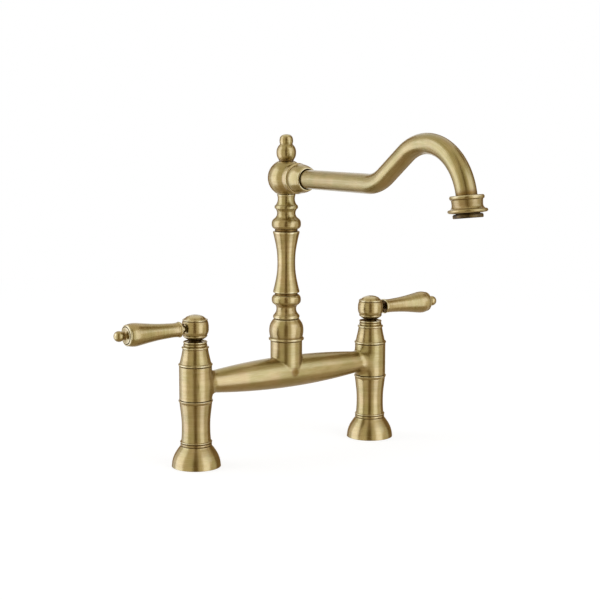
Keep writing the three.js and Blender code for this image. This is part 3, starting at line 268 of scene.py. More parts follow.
# %% [markdown]
# ## The leg
# The leg has a slender waist, a full bead and a thin one above the bell, and a flared lip under the
# barrel. Below is its deep thread socket, and above a spigot with a groove for a sealing ring.

# %% Turn the leg
leg = turned("right_pillar_leg", pillar, [
    (9.3, 0.0), (11.6, 0.0), (11.6, 17.45), (12.2, 17.45),
    *bead((12.3, 17.5), 12.95, (12.3, 19.75)), (12.05, 19.95),
    *bead((12.5, 20.1), 13.15, (12.45, 21.35)), (12.1, 21.6),
    *smooth(
        (12.1, 22.0), (11.72, 27.5), (11.62, 33.5), (11.85, 40.0), (12.5, 46.0), (13.25, 52.4),
    ),
    (12.98, 52.85), (13.4, 53.2), *smooth((13.45, 53.3), (13.8, 54.2), (14.15, 54.95)),
    (13.9, 55.45), (9.9, 55.5), (9.9, 57.1), (8.6, 57.1), (8.6, 58.9), (9.9, 58.9), (9.9, 60.5),
    (7.5, 60.5), (7.5, 14.0), (9.3, 14.0), (9.3, 0.0),
])

# %% [markdown]
# ## The bonnet
# The bonnet screws down over the valve cartridge. A thin bead marks its foot, a plain cone leads up
# to a sharp ring, and above a narrow waist its mouth opens in a thin lip around the hub's neck.

# %% Turn the bonnet
bonnet = turned("right_valve_bonnet", pillar, [
    (8.6, 83.8), (13.2, 83.8), *bead((13.25, 83.9), 13.95, (13.1, 85.7)), (12.75, 86.05),
    *smooth((12.75, 86.3), (12.05, 89.2), (11.2, 93.0), (10.35, 97.5)), (10.15, 97.8),
    *bead((10.4, 98.05), 11.15, (10.1, 99.75)), (9.35, 100.05),
    *bead((9.3, 100.3), 9.75, (9.2, 102.0)), (9.0, 102.3),
    *smooth((9.2, 102.45), (9.75, 102.95), (9.85, 103.35)), (9.7, 103.85), (9.3, 103.85),
    (9.05, 102.9), (6.0, 102.9), (6.0, 96.1), (8.6, 96.1), (8.6, 83.8),
])

# %% [markdown]
# ## The lever hub and its cap
# The hub is a small barrel on the valve's spindle. A cone leads from its dark neck up to a bead,
# and a second bead carries the domed cap over the screw. The lever's stud comes out of a well in
# its side, which is cut with a Boolean after turning.

# %% Turn the hub, bore its well, and turn the cap
HUB_SCREW_SEAT = 116.75

hub = turned("right_handle_hub", pillar, [
    (3.8, 102.4), (5.3, 102.4), (5.15, 104.7),
    *smooth((5.2, 104.9), (7.2, 106.0), (8.9, 107.1), (9.5, 107.7)),
    *bead((9.5, 107.8), 9.95, (9.65, 109.15), fineness=6), (9.5, 109.4),
    *smooth((9.9, 109.6), (10.7, 111.3), (11.08, 114.4), (10.9, 117.8), (10.3, 120.3)),
    (9.95, 120.75), (7.8, 120.75), (7.8, 118.7), (3.6, 118.7), (3.6, HUB_SCREW_SEAT),
    (2.1, HUB_SCREW_SEAT), (2.1, 115.95), (3.8, 115.95), (3.8, 102.4),
])

well_outline = [(0, 9.3), (4.3, 9.3), (4.3, 13.0), (0, 13.0)]
well_tool = roughed("well_tool", lever, well_outline)
thread_outline = [(0, 5.3), (2.5, 5.3), (2.5, 9.5), (0, 9.5)]
thread_tool = roughed("thread_tool", lever, thread_outline)


def take(piece):
    """Selects one piece alone."""
    nothing_selected()
    piece.select_set(True)
    bpy.context.view_layer.objects.active = piece


def cut_away(piece, *tools, operation="DIFFERENCE"):
    """Cuts each tool out of the piece, or joins it on, and throws the tool away."""
    for tool in tools:
        take(piece)
        cut = piece.modifiers.new("cut", "BOOLEAN")
        cut.operation, cut.object, cut.solver = operation, tool, "EXACT"
        bpy.ops.object.modifier_apply(modifier=cut.name)
        bpy.data.objects.remove(tool)
    bpy.ops.object.shade_smooth_by_angle(angle=SMOOTH_BELOW)
    print(piece.name, "after", operation.lower(), ":", len(piece.data.polygons), "faces")


cut_away(hub, well_tool, thread_tool)

hub_cap = turned("right_handle_cap", pillar, [
    (0, 119.0), (7.4, 119.0), (7.4, 120.8), (9.8, 120.8),
    *bead((9.9, 120.9), 10.25, (9.65, 122.15), fineness=6), (8.9, 121.85), (8.75, 122.1),
    *smooth((8.65, 122.15), (7.5, 123.5), (5.2, 124.75), (2.6, 125.4), (0, 125.6), fineness=6),
])

# %% [markdown]
# ## The lever
# A slim stud screws into the hub and carries the handle. The handle swells like a club towards its
# outer end, and closes with a small flat plate and a ball. All of it is turned about the lever's
# own axis, so heights here are distances from the pillar's axis.

# %% Turn the stud, the handle and the ball finial
stud = turned("right_handle_stud", lever, [
    (0, 5.6), (2.2, 5.6), (2.2, 9.3), (2.6, 9.3), (2.6, 13.3), (2.2, 13.3), (2.2, 23.4),
    (0, 23.4),
])

handle = turned("right_handle_grip", lever, [
    (0, 23.9), (2.5, 23.9), (2.5, 16.9), (4.8, 16.5), (5.15, 14.7), (5.6, 14.35),
    *bead((6.1, 14.6), 6.4, (6.05, 15.9), fineness=5), (5.7, 16.05), (5.85, 16.3), (5.9, 17.5),
    (5.68, 17.75), (5.88, 18.0),
    *smooth(
        (5.85, 18.1), (5.8, 20.0), (6.05, 26.0), (6.42, 32.0), (7.0, 38.0), (7.9, 45.0),
        (8.95, 52.0), (9.42, 56.0), (9.3, 59.0), (8.75, 61.6),
    ),
    (8.45, 62.0), *bead((8.4, 62.2), 8.6, (8.1, 63.4), fineness=5), (7.3, 63.75), (7.1, 63.0),
    (2.35, 63.0), (2.35, 57.0), (0, 57.0),
])

lever_ball = turned("right_handle_ball", lever, [
    (0, 57.3), (2.0, 57.3), (2.0, 63.3), (6.7, 63.3), (6.7, 64.0),
    *smooth((6.2, 64.15), (4.2, 64.5), (2.9, 65.3), (2.5, 66.2)),
    *arc(69.9, 4.33, -math.acos(2.5 / 4.33) + 0.06, math.pi / 2),
])

# %% [markdown]
# ## The swivel nut
# The column turns inside this nut. It has a thin flange between two dark joints, a slightly
# barrelled side and a rounded shoulder. Its skirt reaches down into the boss and holds the bush.

# %% Turn the swivel nut
nut = turned("column_nut", column, [
    (9.55, 87.6), (10.75, 87.6), (10.75, 95.6), (13.9, 95.6),
    *bead((14.0, 95.75), 14.9, (13.95, 98.1)), (13.6, 98.35),
    *smooth(
        (13.75, 98.6), (14.3, 101.5), (14.45, 105.0), (14.1, 107.8), (13.15, 110.4),
        (11.9, 112.3), (10.95, 113.6),
    ),
    (10.4, 113.95), (9.55, 113.95), (9.55, 87.6),
])

# %% [markdown]
# ## The column
# Four members stand on the nut: a baluster foot with a fat ring, a long waisted shaft, a second
# baluster upside down, and the ball that the spout springs from. The deep joints between them make
# the column read as turned work, so each joint is a real gap or groove.

# %% Turn the lower baluster
lower_baluster = turned("column_foot", column, [
    (7.0, 114.3), (10.4, 114.3), *bead((10.5, 114.4), 11.2, (10.2, 117.6)),
    *smooth((10.0, 118.0), (8.9, 119.7), (8.35, 122.0), (8.75, 124.6), (10.2, 126.2)),
    *smooth((10.7, 126.5), (11.9, 128.0), (12.25, 130.4), (11.85, 132.7), (10.7, 134.2)),
    (9.7, 134.5), (9.5, 135.9), (7.0, 135.85), (7.0, 114.3),
])

# %% Turn the shaft
shaft = turned("column_waist", column, [
    (5.95, 136.2), (10.6, 136.2), (11.1, 136.7), (11.05, 137.7),
    *smooth(
        (10.85, 138.3), (9.1, 145.8), (7.8, 154.0), (7.47, 161.8), (7.8, 169.4), (9.1, 177.9),
        (10.85, 185.7), fineness=7,
    ),
    (11.1, 186.4), (11.1, 187.5), (10.6, 188.0), (5.95, 188.0), (5.95, 136.2),
])

# %% Turn the upper baluster
upper_baluster = turned("column_head", column, [
    (5.95, 188.3), (9.5, 188.3), (9.5, 189.8), (10.3, 190.1),
    *smooth((10.75, 190.3), (11.9, 191.8), (12.25, 194.2), (11.8, 196.7), (10.4, 198.4)),
    *smooth((10.1, 198.6), (8.5, 200.2), (7.72, 202.7), (7.95, 204.6), (8.8, 206.4)),
    *bead((8.95, 206.6), 9.85, (8.8, 209.9)),
    *smooth((8.6, 210.2), (7.45, 212.6), (7.15, 215.0), (7.35, 217.0), (7.85, 218.7)),
    (7.7, 218.9), (5.95, 218.9), (5.95, 188.3),
])

# %% [markdown]
# ## The ball and its finial
# The ball is hollow and joins the waterway from below to the spout's. A short socket stands out of
# its side. Ball, socket and bores are turned one by one and joined or cut with Booleans.

# %% Turn the ball, add its socket, bore it
BALL_R = 15.45
BALL_H = BALL_Z / MM
ball = turned("column_ball", column, [
    (0, 219.2), (7.7, 219.2),
    *arc(BALL_H, BALL_R, -math.acos(7.9 / BALL_R), math.acos(6.7 / BALL_R), fineness=40),
    (6.5, 246.4), (0, 246.4),
])
socket = turned("socket_tool", spout_root, [(0, 3), (11.6, 3), (11.6, 15.0), (0, 15.0)], seen=False)
cut_away(ball, socket, operation="UNION")
side_bore = roughed("bore_tool", spout_root, [(0, 0), (4.6, 0), (4.6, 16), (0, 16)])
foot_steps = [(0, 218), (5.95, 218), (5.95, 226.6), (4.6, 226.6), (4.6, BALL_H), (0, BALL_H)]
foot_bore = roughed("foot_tool", column, foot_steps)
crown_bore = roughed("crown_tool", column, [(0, 240.6), (3.2, 240.6), (3.2, 247.4), (0, 247.4)])
cut_away(ball, side_bore, foot_bore, crown_bore)

# %% Turn the finial
crest = turned("column_crest", column, [
    (0, 240.9), (2.8, 240.9), (2.8, 246.7), (6.2, 246.7), (6.25, 247.3),
    *smooth(
        (6.35, 247.5), (7.55, 249.8), (8.15, 253.2), (7.7, 256.6), (6.2, 259.2), (5.2, 260.3),
    ),
    *smooth((5.2, 260.4), (5.6, 262.0), (5.6, 264.0), (4.9, 266.4), (3.0, 268.0), (0, 268.6)),
])

# %% [markdown]
# ## The spout
# A ferrule holds the tube in the ball's socket. It starts with a bead and narrows to a round end,
# where a thin dark ring shows between it and the tube.

# %% Turn the ferrule
ferrule = turned("spout_collar", spout_root, [
    (8.3, 15.3), (11.8, 15.3), *bead((11.95, 15.4), 12.85, (11.85, 17.7)), (11.6, 18.0),
    *smooth((11.75, 18.2), (12.0, 20.0), (11.8, 22.8), (11.1, 26.0), (10.2, 28.8), (9.75, 29.9)),
    *smooth((9.65, 30.1), (9.2, 30.42), (8.55, 30.5)), (8.3, 30.2), (8.3, 15.3),
])

# %% [markdown]
# ## The bent tube
# The tube is bent over two formers: a circle is extruded along each straight and spun about each
# former's centre, as a bending machine does. A Solidify modifier gives it its wall. For the
# brushing, each of its points is also placed as if the tube were unrolled.

# %% Bend the tube
TUBE_R, TUBE_WALL = 7.8, 1.0
TUBE_SIDES = 64
TUBE_START = 15.3  # mm from the ball's middle
TUBE_RUN, TUBE_CLIMB, TUBE_ENTRY = 95.1, 29.9, 6.0
SWEEP_R, SWEEP_ANGLE = 36.8, math.radians(35.9)
HOOK_R, HOOK_ANGLE = 43.6, math.radians(119.55)


def ahead(heading):
    return Vector((0, -math.cos(heading), math.sin(heading)))


def above(heading):
    return Vector((0, math.sin(heading), math.cos(heading)))


def go_straight(tip, heading, length, pieces):
    stride = ahead(heading) * length * MM / pieces
    for _ in range(pieces):
        bpy.ops.mesh.extrude_edges_move(TRANSFORM_OT_translate={"value": stride})
    return tip + ahead(heading) * length * MM


def go_round(tip, heading, radius, angle, pieces):
    """Spins the open end about a former above it (angle > 0) or below it (angle < 0)."""
    side = math.copysign(1, angle)
    centre = tip + above(heading) * side * radius * MM
    bpy.ops.mesh.spin(
        steps=pieces, angle=angle, center=centre, axis=(1, 0, 0), use_auto_merge=False
    )
    return centre - above(heading + angle) * side * radius * MM


nothing_selected()
TUBE_FOOT = Vector((0, 0, BALL_Z)) + SPOUT_AHEAD * TUBE_START * MM
tip = TUBE_FOOT.copy()
bpy.ops.mesh.primitive_circle_add(
    vertices=TUBE_SIDES, radius=TUBE_R * MM, location=tip, rotation=(math.pi / 2 - SPOUT_RISE, 0, 0)
)
tube = bpy.context.object
tube.name = tube.data.name = "spout_pipe"
bpy.ops.object.transform_apply(location=True, rotation=True, scale=True)
edit_all()
heading = SPOUT_RISE
tip = go_straight(tip, heading, TUBE_RUN, 24)
tip = go_round(tip, heading, SWEEP_R, SWEEP_ANGLE, 24)
heading += SWEEP_ANGLE
tip = go_straight(tip, heading, TUBE_CLIMB, 8)
tip = go_round(tip, heading, HOOK_R, -HOOK_ANGLE, 72)
heading -= HOOK_ANGLE
OUTLET_FOOT = tip.copy()
tip = go_straight(tip, heading, TUBE_ENTRY, 2)
bpy.ops.object.mode_set(mode="OBJECT")
tube_end = [round(v / MM, 2) for v in tip]
print("the tube ends at", tube_end, "heading", round(math.degrees(heading), 2))

# %% Give the tube its wall
def straightened(point):
    """Where a point of the tube would be, in mm, if the tube were unrolled into a straight one."""
    best = min(range(len(path)), key=lambda i: (point - path[i][0]).length_squared)
    place, heading_there, run = path[best]
    offset = (point - place) / MM
    return (offset.x, offset.dot(above(heading_there)), run + offset.dot(ahead(heading_there)))


def walk(sections, step=1.0):
    """Samples of the tube's centre line: place, heading and length so far in mm."""
    place, heading_here, run = TUBE_FOOT.copy(), SPOUT_RISE, 0.0
    samples = []
    for length, angle in sections:
        count = max(1, round(length / step))
        for _ in range(count):
            samples.append((place.copy(), heading_here, run))
            heading_here += angle / count / 2
            place += ahead(heading_here) * length * MM / count
            heading_here += angle / count / 2
            run += length / count
    return samples + [(place, heading_here, run)]


path = walk(
    [
        (TUBE_RUN, 0),
        (SWEEP_R * SWEEP_ANGLE, SWEEP_ANGLE),
        (TUBE_CLIMB, 0),
        (HOOK_R * HOOK_ANGLE, -HOOK_ANGLE),
        (TUBE_ENTRY, 0),
    ]
)
edit_all()
close_skin()
if (tube.data.polygons[0].center - Vector((0, 0, BALL_Z))).dot(tube.data.polygons[0].normal) < 0:
    tube.data.flip_normals()
wall = tube.modifiers.new("wall", "SOLIDIFY")
wall.thickness = TUBE_WALL * MM
wall.offset = -1
bpy.ops.object.modifier_apply(modifier=wall.name)
bpy.ops.object.shade_smooth_by_angle(angle=SMOOTH_BELOW)
print("the tube's centre line is", round(path[-1][2], 1), "mm long")

# %% [markdown]
# ## The outlet
# The hook ends in a turned collar with a lip, a hollow waist and a thick flange. A dark ring
# below it holds the aerator, a disc drilled with fine jets.

# %% Turn the outlet's pieces
outlet = Lathe(OUTLET_FOOT, ahead(heading), (1, 0, 0))

COLLAR_TOP = -3.1
outlet_collar = turned("outlet_flange", outlet, [
    (8.3, COLLAR_TOP), (11.7, COLLAR_TOP), *bead((11.8, COLLAR_TOP + 0.05), 12.7, (11.75, -0.1)),
    (11.5, 0.15), *smooth((11.5, 0.4), (11.3, 2.9), (11.6, 5.3), (12.5, 6.5)),
    *bead((13.1, 6.7), 14.65, (13.0, 9.45)), (12.0, 9.55), (9.4, 9.9), (9.4, 6.3), (8.3, 6.3),
    (8.3, COLLAR_TOP),
])

aerator_ring = turned("aerator_ring", outlet, [
    (7.5, 7.7), (8.9, 7.7), (8.9, 10.2), (10.5, 10.2), (10.5, 10.6), (11.1, 10.9), (11.1, 12.8),
    (10.7, 13.25), (9.2, 13.25), (8.6, 13.0), (7.5, 13.0), (7.5, 7.7),
])

insert_outline = [(0, 8.0), (7.4, 8.0), (7.4, 12.8), (6.6, 12.8), (6.4, 12.3), (0, 12.3)]
aerator_disc = turned("aerator_disc", outlet, insert_outline)


def drill(name, radius, circle, count):
    """A ring of small rods around the water's axis, to be cut out as holes."""
    nothing_selected()
    tilt = (math.pi + math.asin(-outlet.along.y), 0, 0)
    rods = []
    for i in range(count):
        angle = 2 * math.pi * i / count
        side = Vector((math.cos(angle), 0, 0)) + above(heading) * math.sin(angle)
        place = outlet.foot + (outlet.along * 10.5 + side * circle) * MM
        bpy.ops.mesh.primitive_cylinder_add(
            vertices=16, radius=radius * MM, depth=8 * MM, location=place, rotation=tilt
        )
        rods.append(bpy.context.object)
    for rod in rods:
        rod.select_set(True)
    bpy.ops.object.join()
    joined = bpy.context.object
    joined.name = name
    bpy.ops.object.transform_apply(location=True, rotation=True, scale=True)
    return joined


cut_away(aerator_disc, drill("large_jets", 0.85, 4.4, 10), drill("small_jets", 0.7, 2.2, 5))

# %% [markdown]
# ## The bridge
# The bar is cast in one with the two barrels and the boss. It is thickest at the boss, where both
# have one radius, so they meet in a mitre with its tip at the front, and it flows into the barrels
# in a soft round. The members are turned, joined and remeshed to an even skin. The skin is then
# drawn onto the exact blended surface, because a remesh alone leaves ripples that brushing would
# show.

# %% Turn and join the bridge's members
BAR_R, BAR_LOSS, BAR_HALF = 13.38, 4.1, 72.0
BARREL_R = 13.38
BARREL_FOOT, BARREL_TOP, BOSS_FOOT, BOSS_TOP = 55.8, 83.5, 82.0, 95.3
PILLAR_MM, BAR_MM = PILLAR_X / MM, BAR_Z / MM
BY_PILLAR = 60  # mm from the middle, where the barrels' part begins


def bar_radius(x):
    return BAR_R - BAR_LOSS * (np.minimum(np.abs(x), 80) / BAR_HALF) ** 2


bar_outline = [(0, -PILLAR_MM)]
bar_outline += [(float(bar_radius(x)), float(x)) for x in np.linspace(-PILLAR_MM, PILLAR_MM, 61)]
bar_outline += [(0, PILLAR_MM)]
left_pillar = Lathe((-PILLAR_X, 0, 0), (0, 0, 1), (1, 0, 0))
bridge = roughed("bridge_casting", crossbar, bar_outline)
tall_barrel = [(0, 46), (BARREL_R, 46), (BARREL_R, 60), (BARREL_R, 80), (BARREL_R, 93), (0, 93)]
tall_boss = [(0, 69), (BARREL_R - 0.1, 69), (BARREL_R, 80), (BARREL_R, 104), (0, 104)]
barrels = [roughed("barrel_tool", at, tall_barrel) for at in (pillar, left_pillar)]
boss = roughed("boss_tool", column, tall_boss)
cut_away(bridge, *barrels, boss, operation="UNION")

# %% Remesh the skin and draw it onto the blended surface
SKIN = 0.6  # mm between the skin's points
BARREL_BLEND, BOSS_BLEND = 6.0, 1.2

remesh = bridge.modifiers.new("skin", "REMESH")
remesh.mode, remesh.voxel_size = "VOXEL", SKIN * MM
bpy.ops.object.modifier_apply(modifier=remesh.name)


def soft_min(a, b, blend):
    """The nearer of two surfaces, rounded where they are about as near as blend."""
    share = np.maximum(blend - np.abs(a - b), 0) / np.maximum(blend, 1e-6)
    return np.minimum(a, b) - share**2 * blend / 4


def bridge_distance(points):
    x, y, z = points.T
    rise = z - BAR_MM
    bar = np.maximum(np.hypot(y, rise) - bar_radius(x), np.abs(x) - PILLAR_MM)
    barrel = np.hypot(np.abs(x) - PILLAR_MM, y) - BARREL_R
    boss_side = np.hypot(x, y) - BARREL_R + 0.03 * np.maximum(2 - rise, 0) ** 2
    boss_side = np.maximum(boss_side, -2 - rise)
    boss_blend = BOSS_BLEND * np.clip(rise / BARREL_R, 0.5, 1)
    return soft_min(soft_min(bar, barrel, BARREL_BLEND), boss_side, boss_blend)


def draw_onto(points, distance, rounds=5, probe=0.01):
    for _ in range(rounds):
        here = distance(points)
        shifts = probe * np.eye(3)
        rises = [distance(points + s) - distance(points - s) for s in shifts]
        slope = np.stack(rises, 1) / (2 * probe)
        steepness = np.maximum((slope**2).sum(1), 0.3)
        points = points - np.clip(here / steepness, -1, 1)[:, None] * slope
    return points


# The cuts below take the tool ends away, so only the skin between them is drawn on.
skin = points_of(bridge.data) / MM
near_pillar = np.abs(skin[:, 0]) > BY_PILLAR
on_barrel = (skin[:, 2] > 48) & (skin[:, 2] < 91)
safe = np.where(near_pillar, on_barrel, skin[:, 2] < 102)
skin[safe] = draw_onto(skin[safe], bridge_distance)
bridge.data.vertices.foreach_set("co", (skin * MM).ravel())
bridge.data.update()
off = float(np.abs(bridge_distance(skin[safe])).max())
print("the skin has", len(skin), "points, at most", round(off, 4), "mm off")

# %% Cut the ends and the bores
pillar_cut = [
    (0, 99), (16, 99), (16, 83.1), (13.8, 82.95), (13.0, BARREL_TOP), (10.4, BARREL_TOP),
    (10.4, BARREL_FOOT), (13.0, BARREL_FOOT), (13.8, 56.35), (16, 56.2), (16, 40), (0, 40),
]
pillar_tools = [roughed("pillar_cut", at, pillar_cut) for at in (pillar, left_pillar)]
boss_cut = [
    (0, 110), (16, 110), (16, 94.9), (13.8, 94.8), (13.1, BOSS_TOP), (11.3, BOSS_TOP),
    (11.3, 87.3), (7.95, 87.3), (7.95, 71.7), (0, 71.7),
]
boss_tool = roughed("boss_cut", column, boss_cut)
waterway = roughed("waterway", crossbar, [(0, -85), (5.5, -85), (5.5, 85), (0, 85)])
cut_away(bridge, *pillar_tools, boss_tool, waterway)
pillar.outlines.append([(BARREL_R, BARREL_FOOT), (BARREL_R, BARREL_TOP)])
column.outlines.append([(BARREL_R, BOSS_FOOT), (BARREL_R, BOSS_TOP)])

# %% [markdown]
# ## The second pillar
# The left pillar stands half a turn about the bridge's middle from the right one, so its pieces are
# copies, each with its own mesh, turned by 180 degrees.

# %% Copy the turned pieces to the left
def left_copy(piece, name):
    take(piece)
    bpy.ops.object.duplicate(linked=False)
    copy = bpy.context.object
    copy.name = copy.data.name = name
    copy.rotation_euler.z = math.pi
    bpy.ops.object.transform_apply(location=True, rotation=True, scale=True)
    return copy


left_lever = Lathe((-PILLAR_X, 0, LEVER_Z), (-1, 0, 0), (0, 0, 1))
left_pillar.outlines, left_lever.outlines = pillar.outlines, lever.outlines
turned_once = [
    (base_flange, "base_flange", "bridge", "brass", pillar),
    (leg, "leg", "bridge", "brass", pillar),
    (bonnet, "bonnet", "bridge", "brass", pillar),
    (hub, "lever_hub", "lever", "brass", pillar),
    (hub_cap, "hub_cap", "lever", "brass", pillar),
    (stud, "lever_stud", "lever", "brass", lever),
    (handle, "lever_handle", "lever", "brass", lever),
    (lever_ball, "lever_finial", "lever", "brass", lever),
]
dressed = []
for piece, node, body, finish, lathe in turned_once:
    copy = left_copy(piece, piece.name.replace("right", "left"))
    for side, one in (("right", piece), ("left", copy)):
        at = lathe if side == "right" else (left_pillar if lathe is pillar else left_lever)
        rides_on = body if body == "bridge" else f"{side}_lever"
        dressed.append((one, f"{side}_{node}", rides_on, finish, at))
dressed += [
    (bridge, "bridge_body", "bridge", "brass", crossbar),
    (nut, "swivel_nut", "bridge", "brass", column),
    (lower_baluster, "column_lower_baluster", "spout", "brass", column),
    (shaft, "column_shaft", "spout", "brass", column),
    (upper_baluster, "column_upper_baluster", "spout", "brass", column),
    (ball, "column_ball_hub", "spout", "brass", column),
    (crest, "column_finial", "spout", "brass", column),
    (ferrule, "spout_ferrule", "spout", "brass", spout_root),
    (tube, "spout_tube", "spout", "brass", spout_root),
    (outlet_collar, "outlet_collar", "spout", "brass", outlet),
    (aerator_ring, "aerator_housing", "spout", "dark_plastic", outlet),
    (aerator_disc, "aerator_insert", "spout", "dark_plastic", outlet),
]
for piece, node, body, finish, lathe in dressed:
    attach(piece, body)
    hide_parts(node)
print(len(dressed), "pieces dress the frame")

# %% [markdown]
# ## Marks for the finish
# Brushing runs around each turned piece, and dark patina stays in its grooves. So each point gets
# three attributes: its place on its lathe in millimetres, how deep it lies below the members beside
# it, and how far it stands proud and is rubbed. Depth and wear come from the outlines of all
# members on one lathe, so a joint between two pieces darkens as well. The depth also carries
# painted shade: in bores, wells and gaps, inside the tube, on the tube at the collar, at the tip of
# the bar's mitre and where the bar meets an upright.

# %% Work out depth and wear along each lathe
STEP = 0.05  # mm between samples along a lathe
CLOSING = 1.7  # mm, half the width of a groove that a polishing cloth can't reach into
NECK = 4.2  # mm, half the width of a neck that keeps some of its brown
NECK_SHARE, OUTLET_SHARE = 0.2, 0.3
TARNISH = {"outlet_collar": 0.22, "left_leg": 0.36}  # these two are browner than the rest
COLLAR_WEAR = 0.3
RELIEF_HALF = 1.2  # mm, half of the stretch that an edge has to stand proud of
BURIED_SHADE = 3  # painted shade: the depth given to surfaces deep in bores and gaps, near black
HIDDEN_SHADE_CAP = {"hub": 0.2, "bonnet": 0.9}  # for these, the painted shade in bores and gaps is no deeper than this
UNRUBBED_FOOT = 1.5  # mm above the deck, below which a flange isn't rubbed
COLLAR_SHADE_DEPTH, COLLAR_SHADE_FADE = 2.0, 2.2  # painted shade: a dark ring on the tube where it meets the collar, and its fading in mm
MITRE_SHADE_DEPTH, MITRE_R, MITRE_RISE = 1.7, 3.6, 1.2  # painted shade at the tip of the bar's mitre
CORNER_SHADE_DEPTH, CORNER_REACH = 0.4, 3.5  # brown patina and painted shade where the bar meets an upright
END_DEPTH, END_FADE, END_WEAR = 0.12, 0.8, 0.2  # the casting's turned ends


def silhouette(outlines_there):
    """The outer radius along a lathe's axis."""
    top = max(h for outline in outlines_there for _, h in outline)
    foot = min(h for outline in outlines_there for _, h in outline)
    heights = np.arange(foot - 4, top + 4, STEP)
    radii = np.zeros(len(heights))
    for outline in outlines_there:
        for (r0, h0), (r1, h1) in zip(outline, outline[1:]):
            low, high = min(h0, h1), max(h0, h1)
            inside = (heights >= low - STEP) & (heights <= high + STEP)
            here = max(r0, r1)
            if h1 != h0:
                here = r0 + (r1 - r0) * np.clip((heights[inside] - h0) / (h1 - h0), 0, 1)
            radii[inside] = np.maximum(radii[inside], here)
    return heights, radii


def spread(values, half, widest):
    """The largest (or least) value within half a window."""
    count = round(half / STEP)
    padded = np.pad(values, count, mode="edge")
    windows = np.lib.stride_tricks.sliding_window_view(padded, 2 * count + 1)
    return windows.max(1) if widest else windows.min(1)


def averaged(values, half):
    count = round(half / STEP)
    padded = np.pad(values, count, mode="edge")
    return np.convolve(padded, np.ones(2 * count + 1) / (2 * count + 1), mode="valid")


def mark(piece, place, depth, wear):
    """Stores the finish's marks on a piece's points."""
    mesh = piece.data
    for name, kind in (("lathe", "FLOAT_VECTOR"), ("depth", "FLOAT"), ("wear", "FLOAT")):
        if name in mesh.attributes:
            mesh.attributes.remove(mesh.attributes[name])
        mesh.attributes.new(name, kind, "POINT")
    mesh.attributes["lathe"].data.foreach_set("vector", np.asarray(place, np.float32).ravel())
    mesh.attributes["depth"].data.foreach_set("value", np.asarray(depth, np.float32))
    mesh.attributes["wear"].data.foreach_set("value", np.asarray(wear, np.float32))


shapes = {}
for piece, node, body, finish, lathe in dressed:
    offsets, radii, heights = lathe.measure(piece.data)
    across = np.array(lathe.across)
    aside = np.cross(np.array(lathe.along), across)
    place = np.stack([offsets @ across, offsets @ aside, heights], 1)
    if piece is tube:
        place = np.array([straightened(v.co) for v in piece.data.vertices])
        radii = np.hypot(place[:, 0], place[:, 1])
        # The tube's inside is painted in deep shade, and a ring of painted shade darkens it at the
        # collar.
        inner = np.clip((TUBE_R - 0.3 - radii) * 4, 0, 1)
        from_collar = place[:, 2].max() - (TUBE_ENTRY - COLLAR_TOP) - place[:, 2]
        collar_shade = COLLAR_SHADE_DEPTH * np.exp(-np.maximum(from_collar, 0) / COLLAR_SHADE_FADE)
        mark(piece, place, np.maximum(inner * BURIED_SHADE, collar_shade), np.zeros(len(place)))
        continue
    if piece is bridge:
        x, y, z = (offsets + np.array(lathe.foot) / MM).T
        place = np.stack([x, y, z], 1)
        on_barrel = np.minimum(z - BARREL_FOOT, BARREL_TOP - z)
        from_ends = np.where(np.abs(x) > BY_PILLAR, on_barrel, BOSS_TOP - z)
        # Painted shade in the crease at the mitre's tip.
        mitre = np.exp(-((np.hypot(x, z - BAR_MM - MITRE_RISE) / MITRE_R) ** 2)) * (np.abs(y) > 8)
        from_bar = np.hypot(y, z - BAR_MM) - bar_radius(x)
        nearest_upright = np.minimum(np.abs(x), np.abs(np.abs(x) - PILLAR_MM))
        from_upright = np.hypot(nearest_upright, y) - BARREL_R
        # Brown patina and painted shade in the corners where the bar meets the barrels and the boss.
        corner = np.maximum(CORNER_REACH - np.abs(from_bar - from_upright), 0) / CORNER_REACH
        corner = np.where((np.abs(x) > 40) | (z > BAR_MM + 4), corner, 0)
        ends = np.exp(-np.maximum(from_ends, 0) / END_FADE)
        depth = MITRE_SHADE_DEPTH * mitre + CORNER_SHADE_DEPTH * corner**2 + END_DEPTH * ends
        # Faces inside the bores and the waterway are painted in deep shade.
        depth = np.where(bridge_distance(place) < -0.5, BURIED_SHADE, depth)
        mark(piece, place, depth, END_WEAR * np.exp(-((from_ends - 0.5) / 0.4) ** 2))
        continue
    key = id(lathe.outlines)
    if key not in shapes:
        along, outer = silhouette(lathe.outlines)
        grooves = spread(spread(outer, CLOSING, True), CLOSING, False) - outer
        necks = spread(spread(outer, NECK, True), NECK, False) - outer
        lying = np.maximum(grooves, (OUTLET_SHARE if lathe is outlet else NECK_SHARE) * necks)
        shapes[key] = (along, outer, lying, outer - averaged(outer, RELIEF_HALF))
    along, outer, lying, relief = shapes[key]
    surface = np.interp(heights, along, outer)
    cap = next((cap for word, cap in HIDDEN_SHADE_CAP.items() if word in node), BURIED_SHADE)
    # Surfaces that lie below the outer silhouette, in bores, wells and gaps, get painted shade.
    hidden_shade = np.clip((surface - radii - 0.25) * 2, 0, cap)
    depth = np.interp(heights, along, lying) + np.clip(surface - radii, 0, 0.3)
    depth = depth + TARNISH.get(node, 0)
    worn = np.interp(heights, along, relief)
    if "flange" in node:
        worn = worn * np.clip(heights - UNRUBBED_FOOT, 0, 1)
    if node == "outlet_collar":
        worn = worn * COLLAR_WEAR
    mark(piece, place, np.maximum(depth, hidden_shade), worn)
print("marks are stored on", len(dressed), "pieces")

# %% [markdown]
# ## Shader maths in plain Python
# The small class below wraps one socket of a node tree, so that an expression such as `1 - mask *
# 0.4` adds its Math nodes by itself.

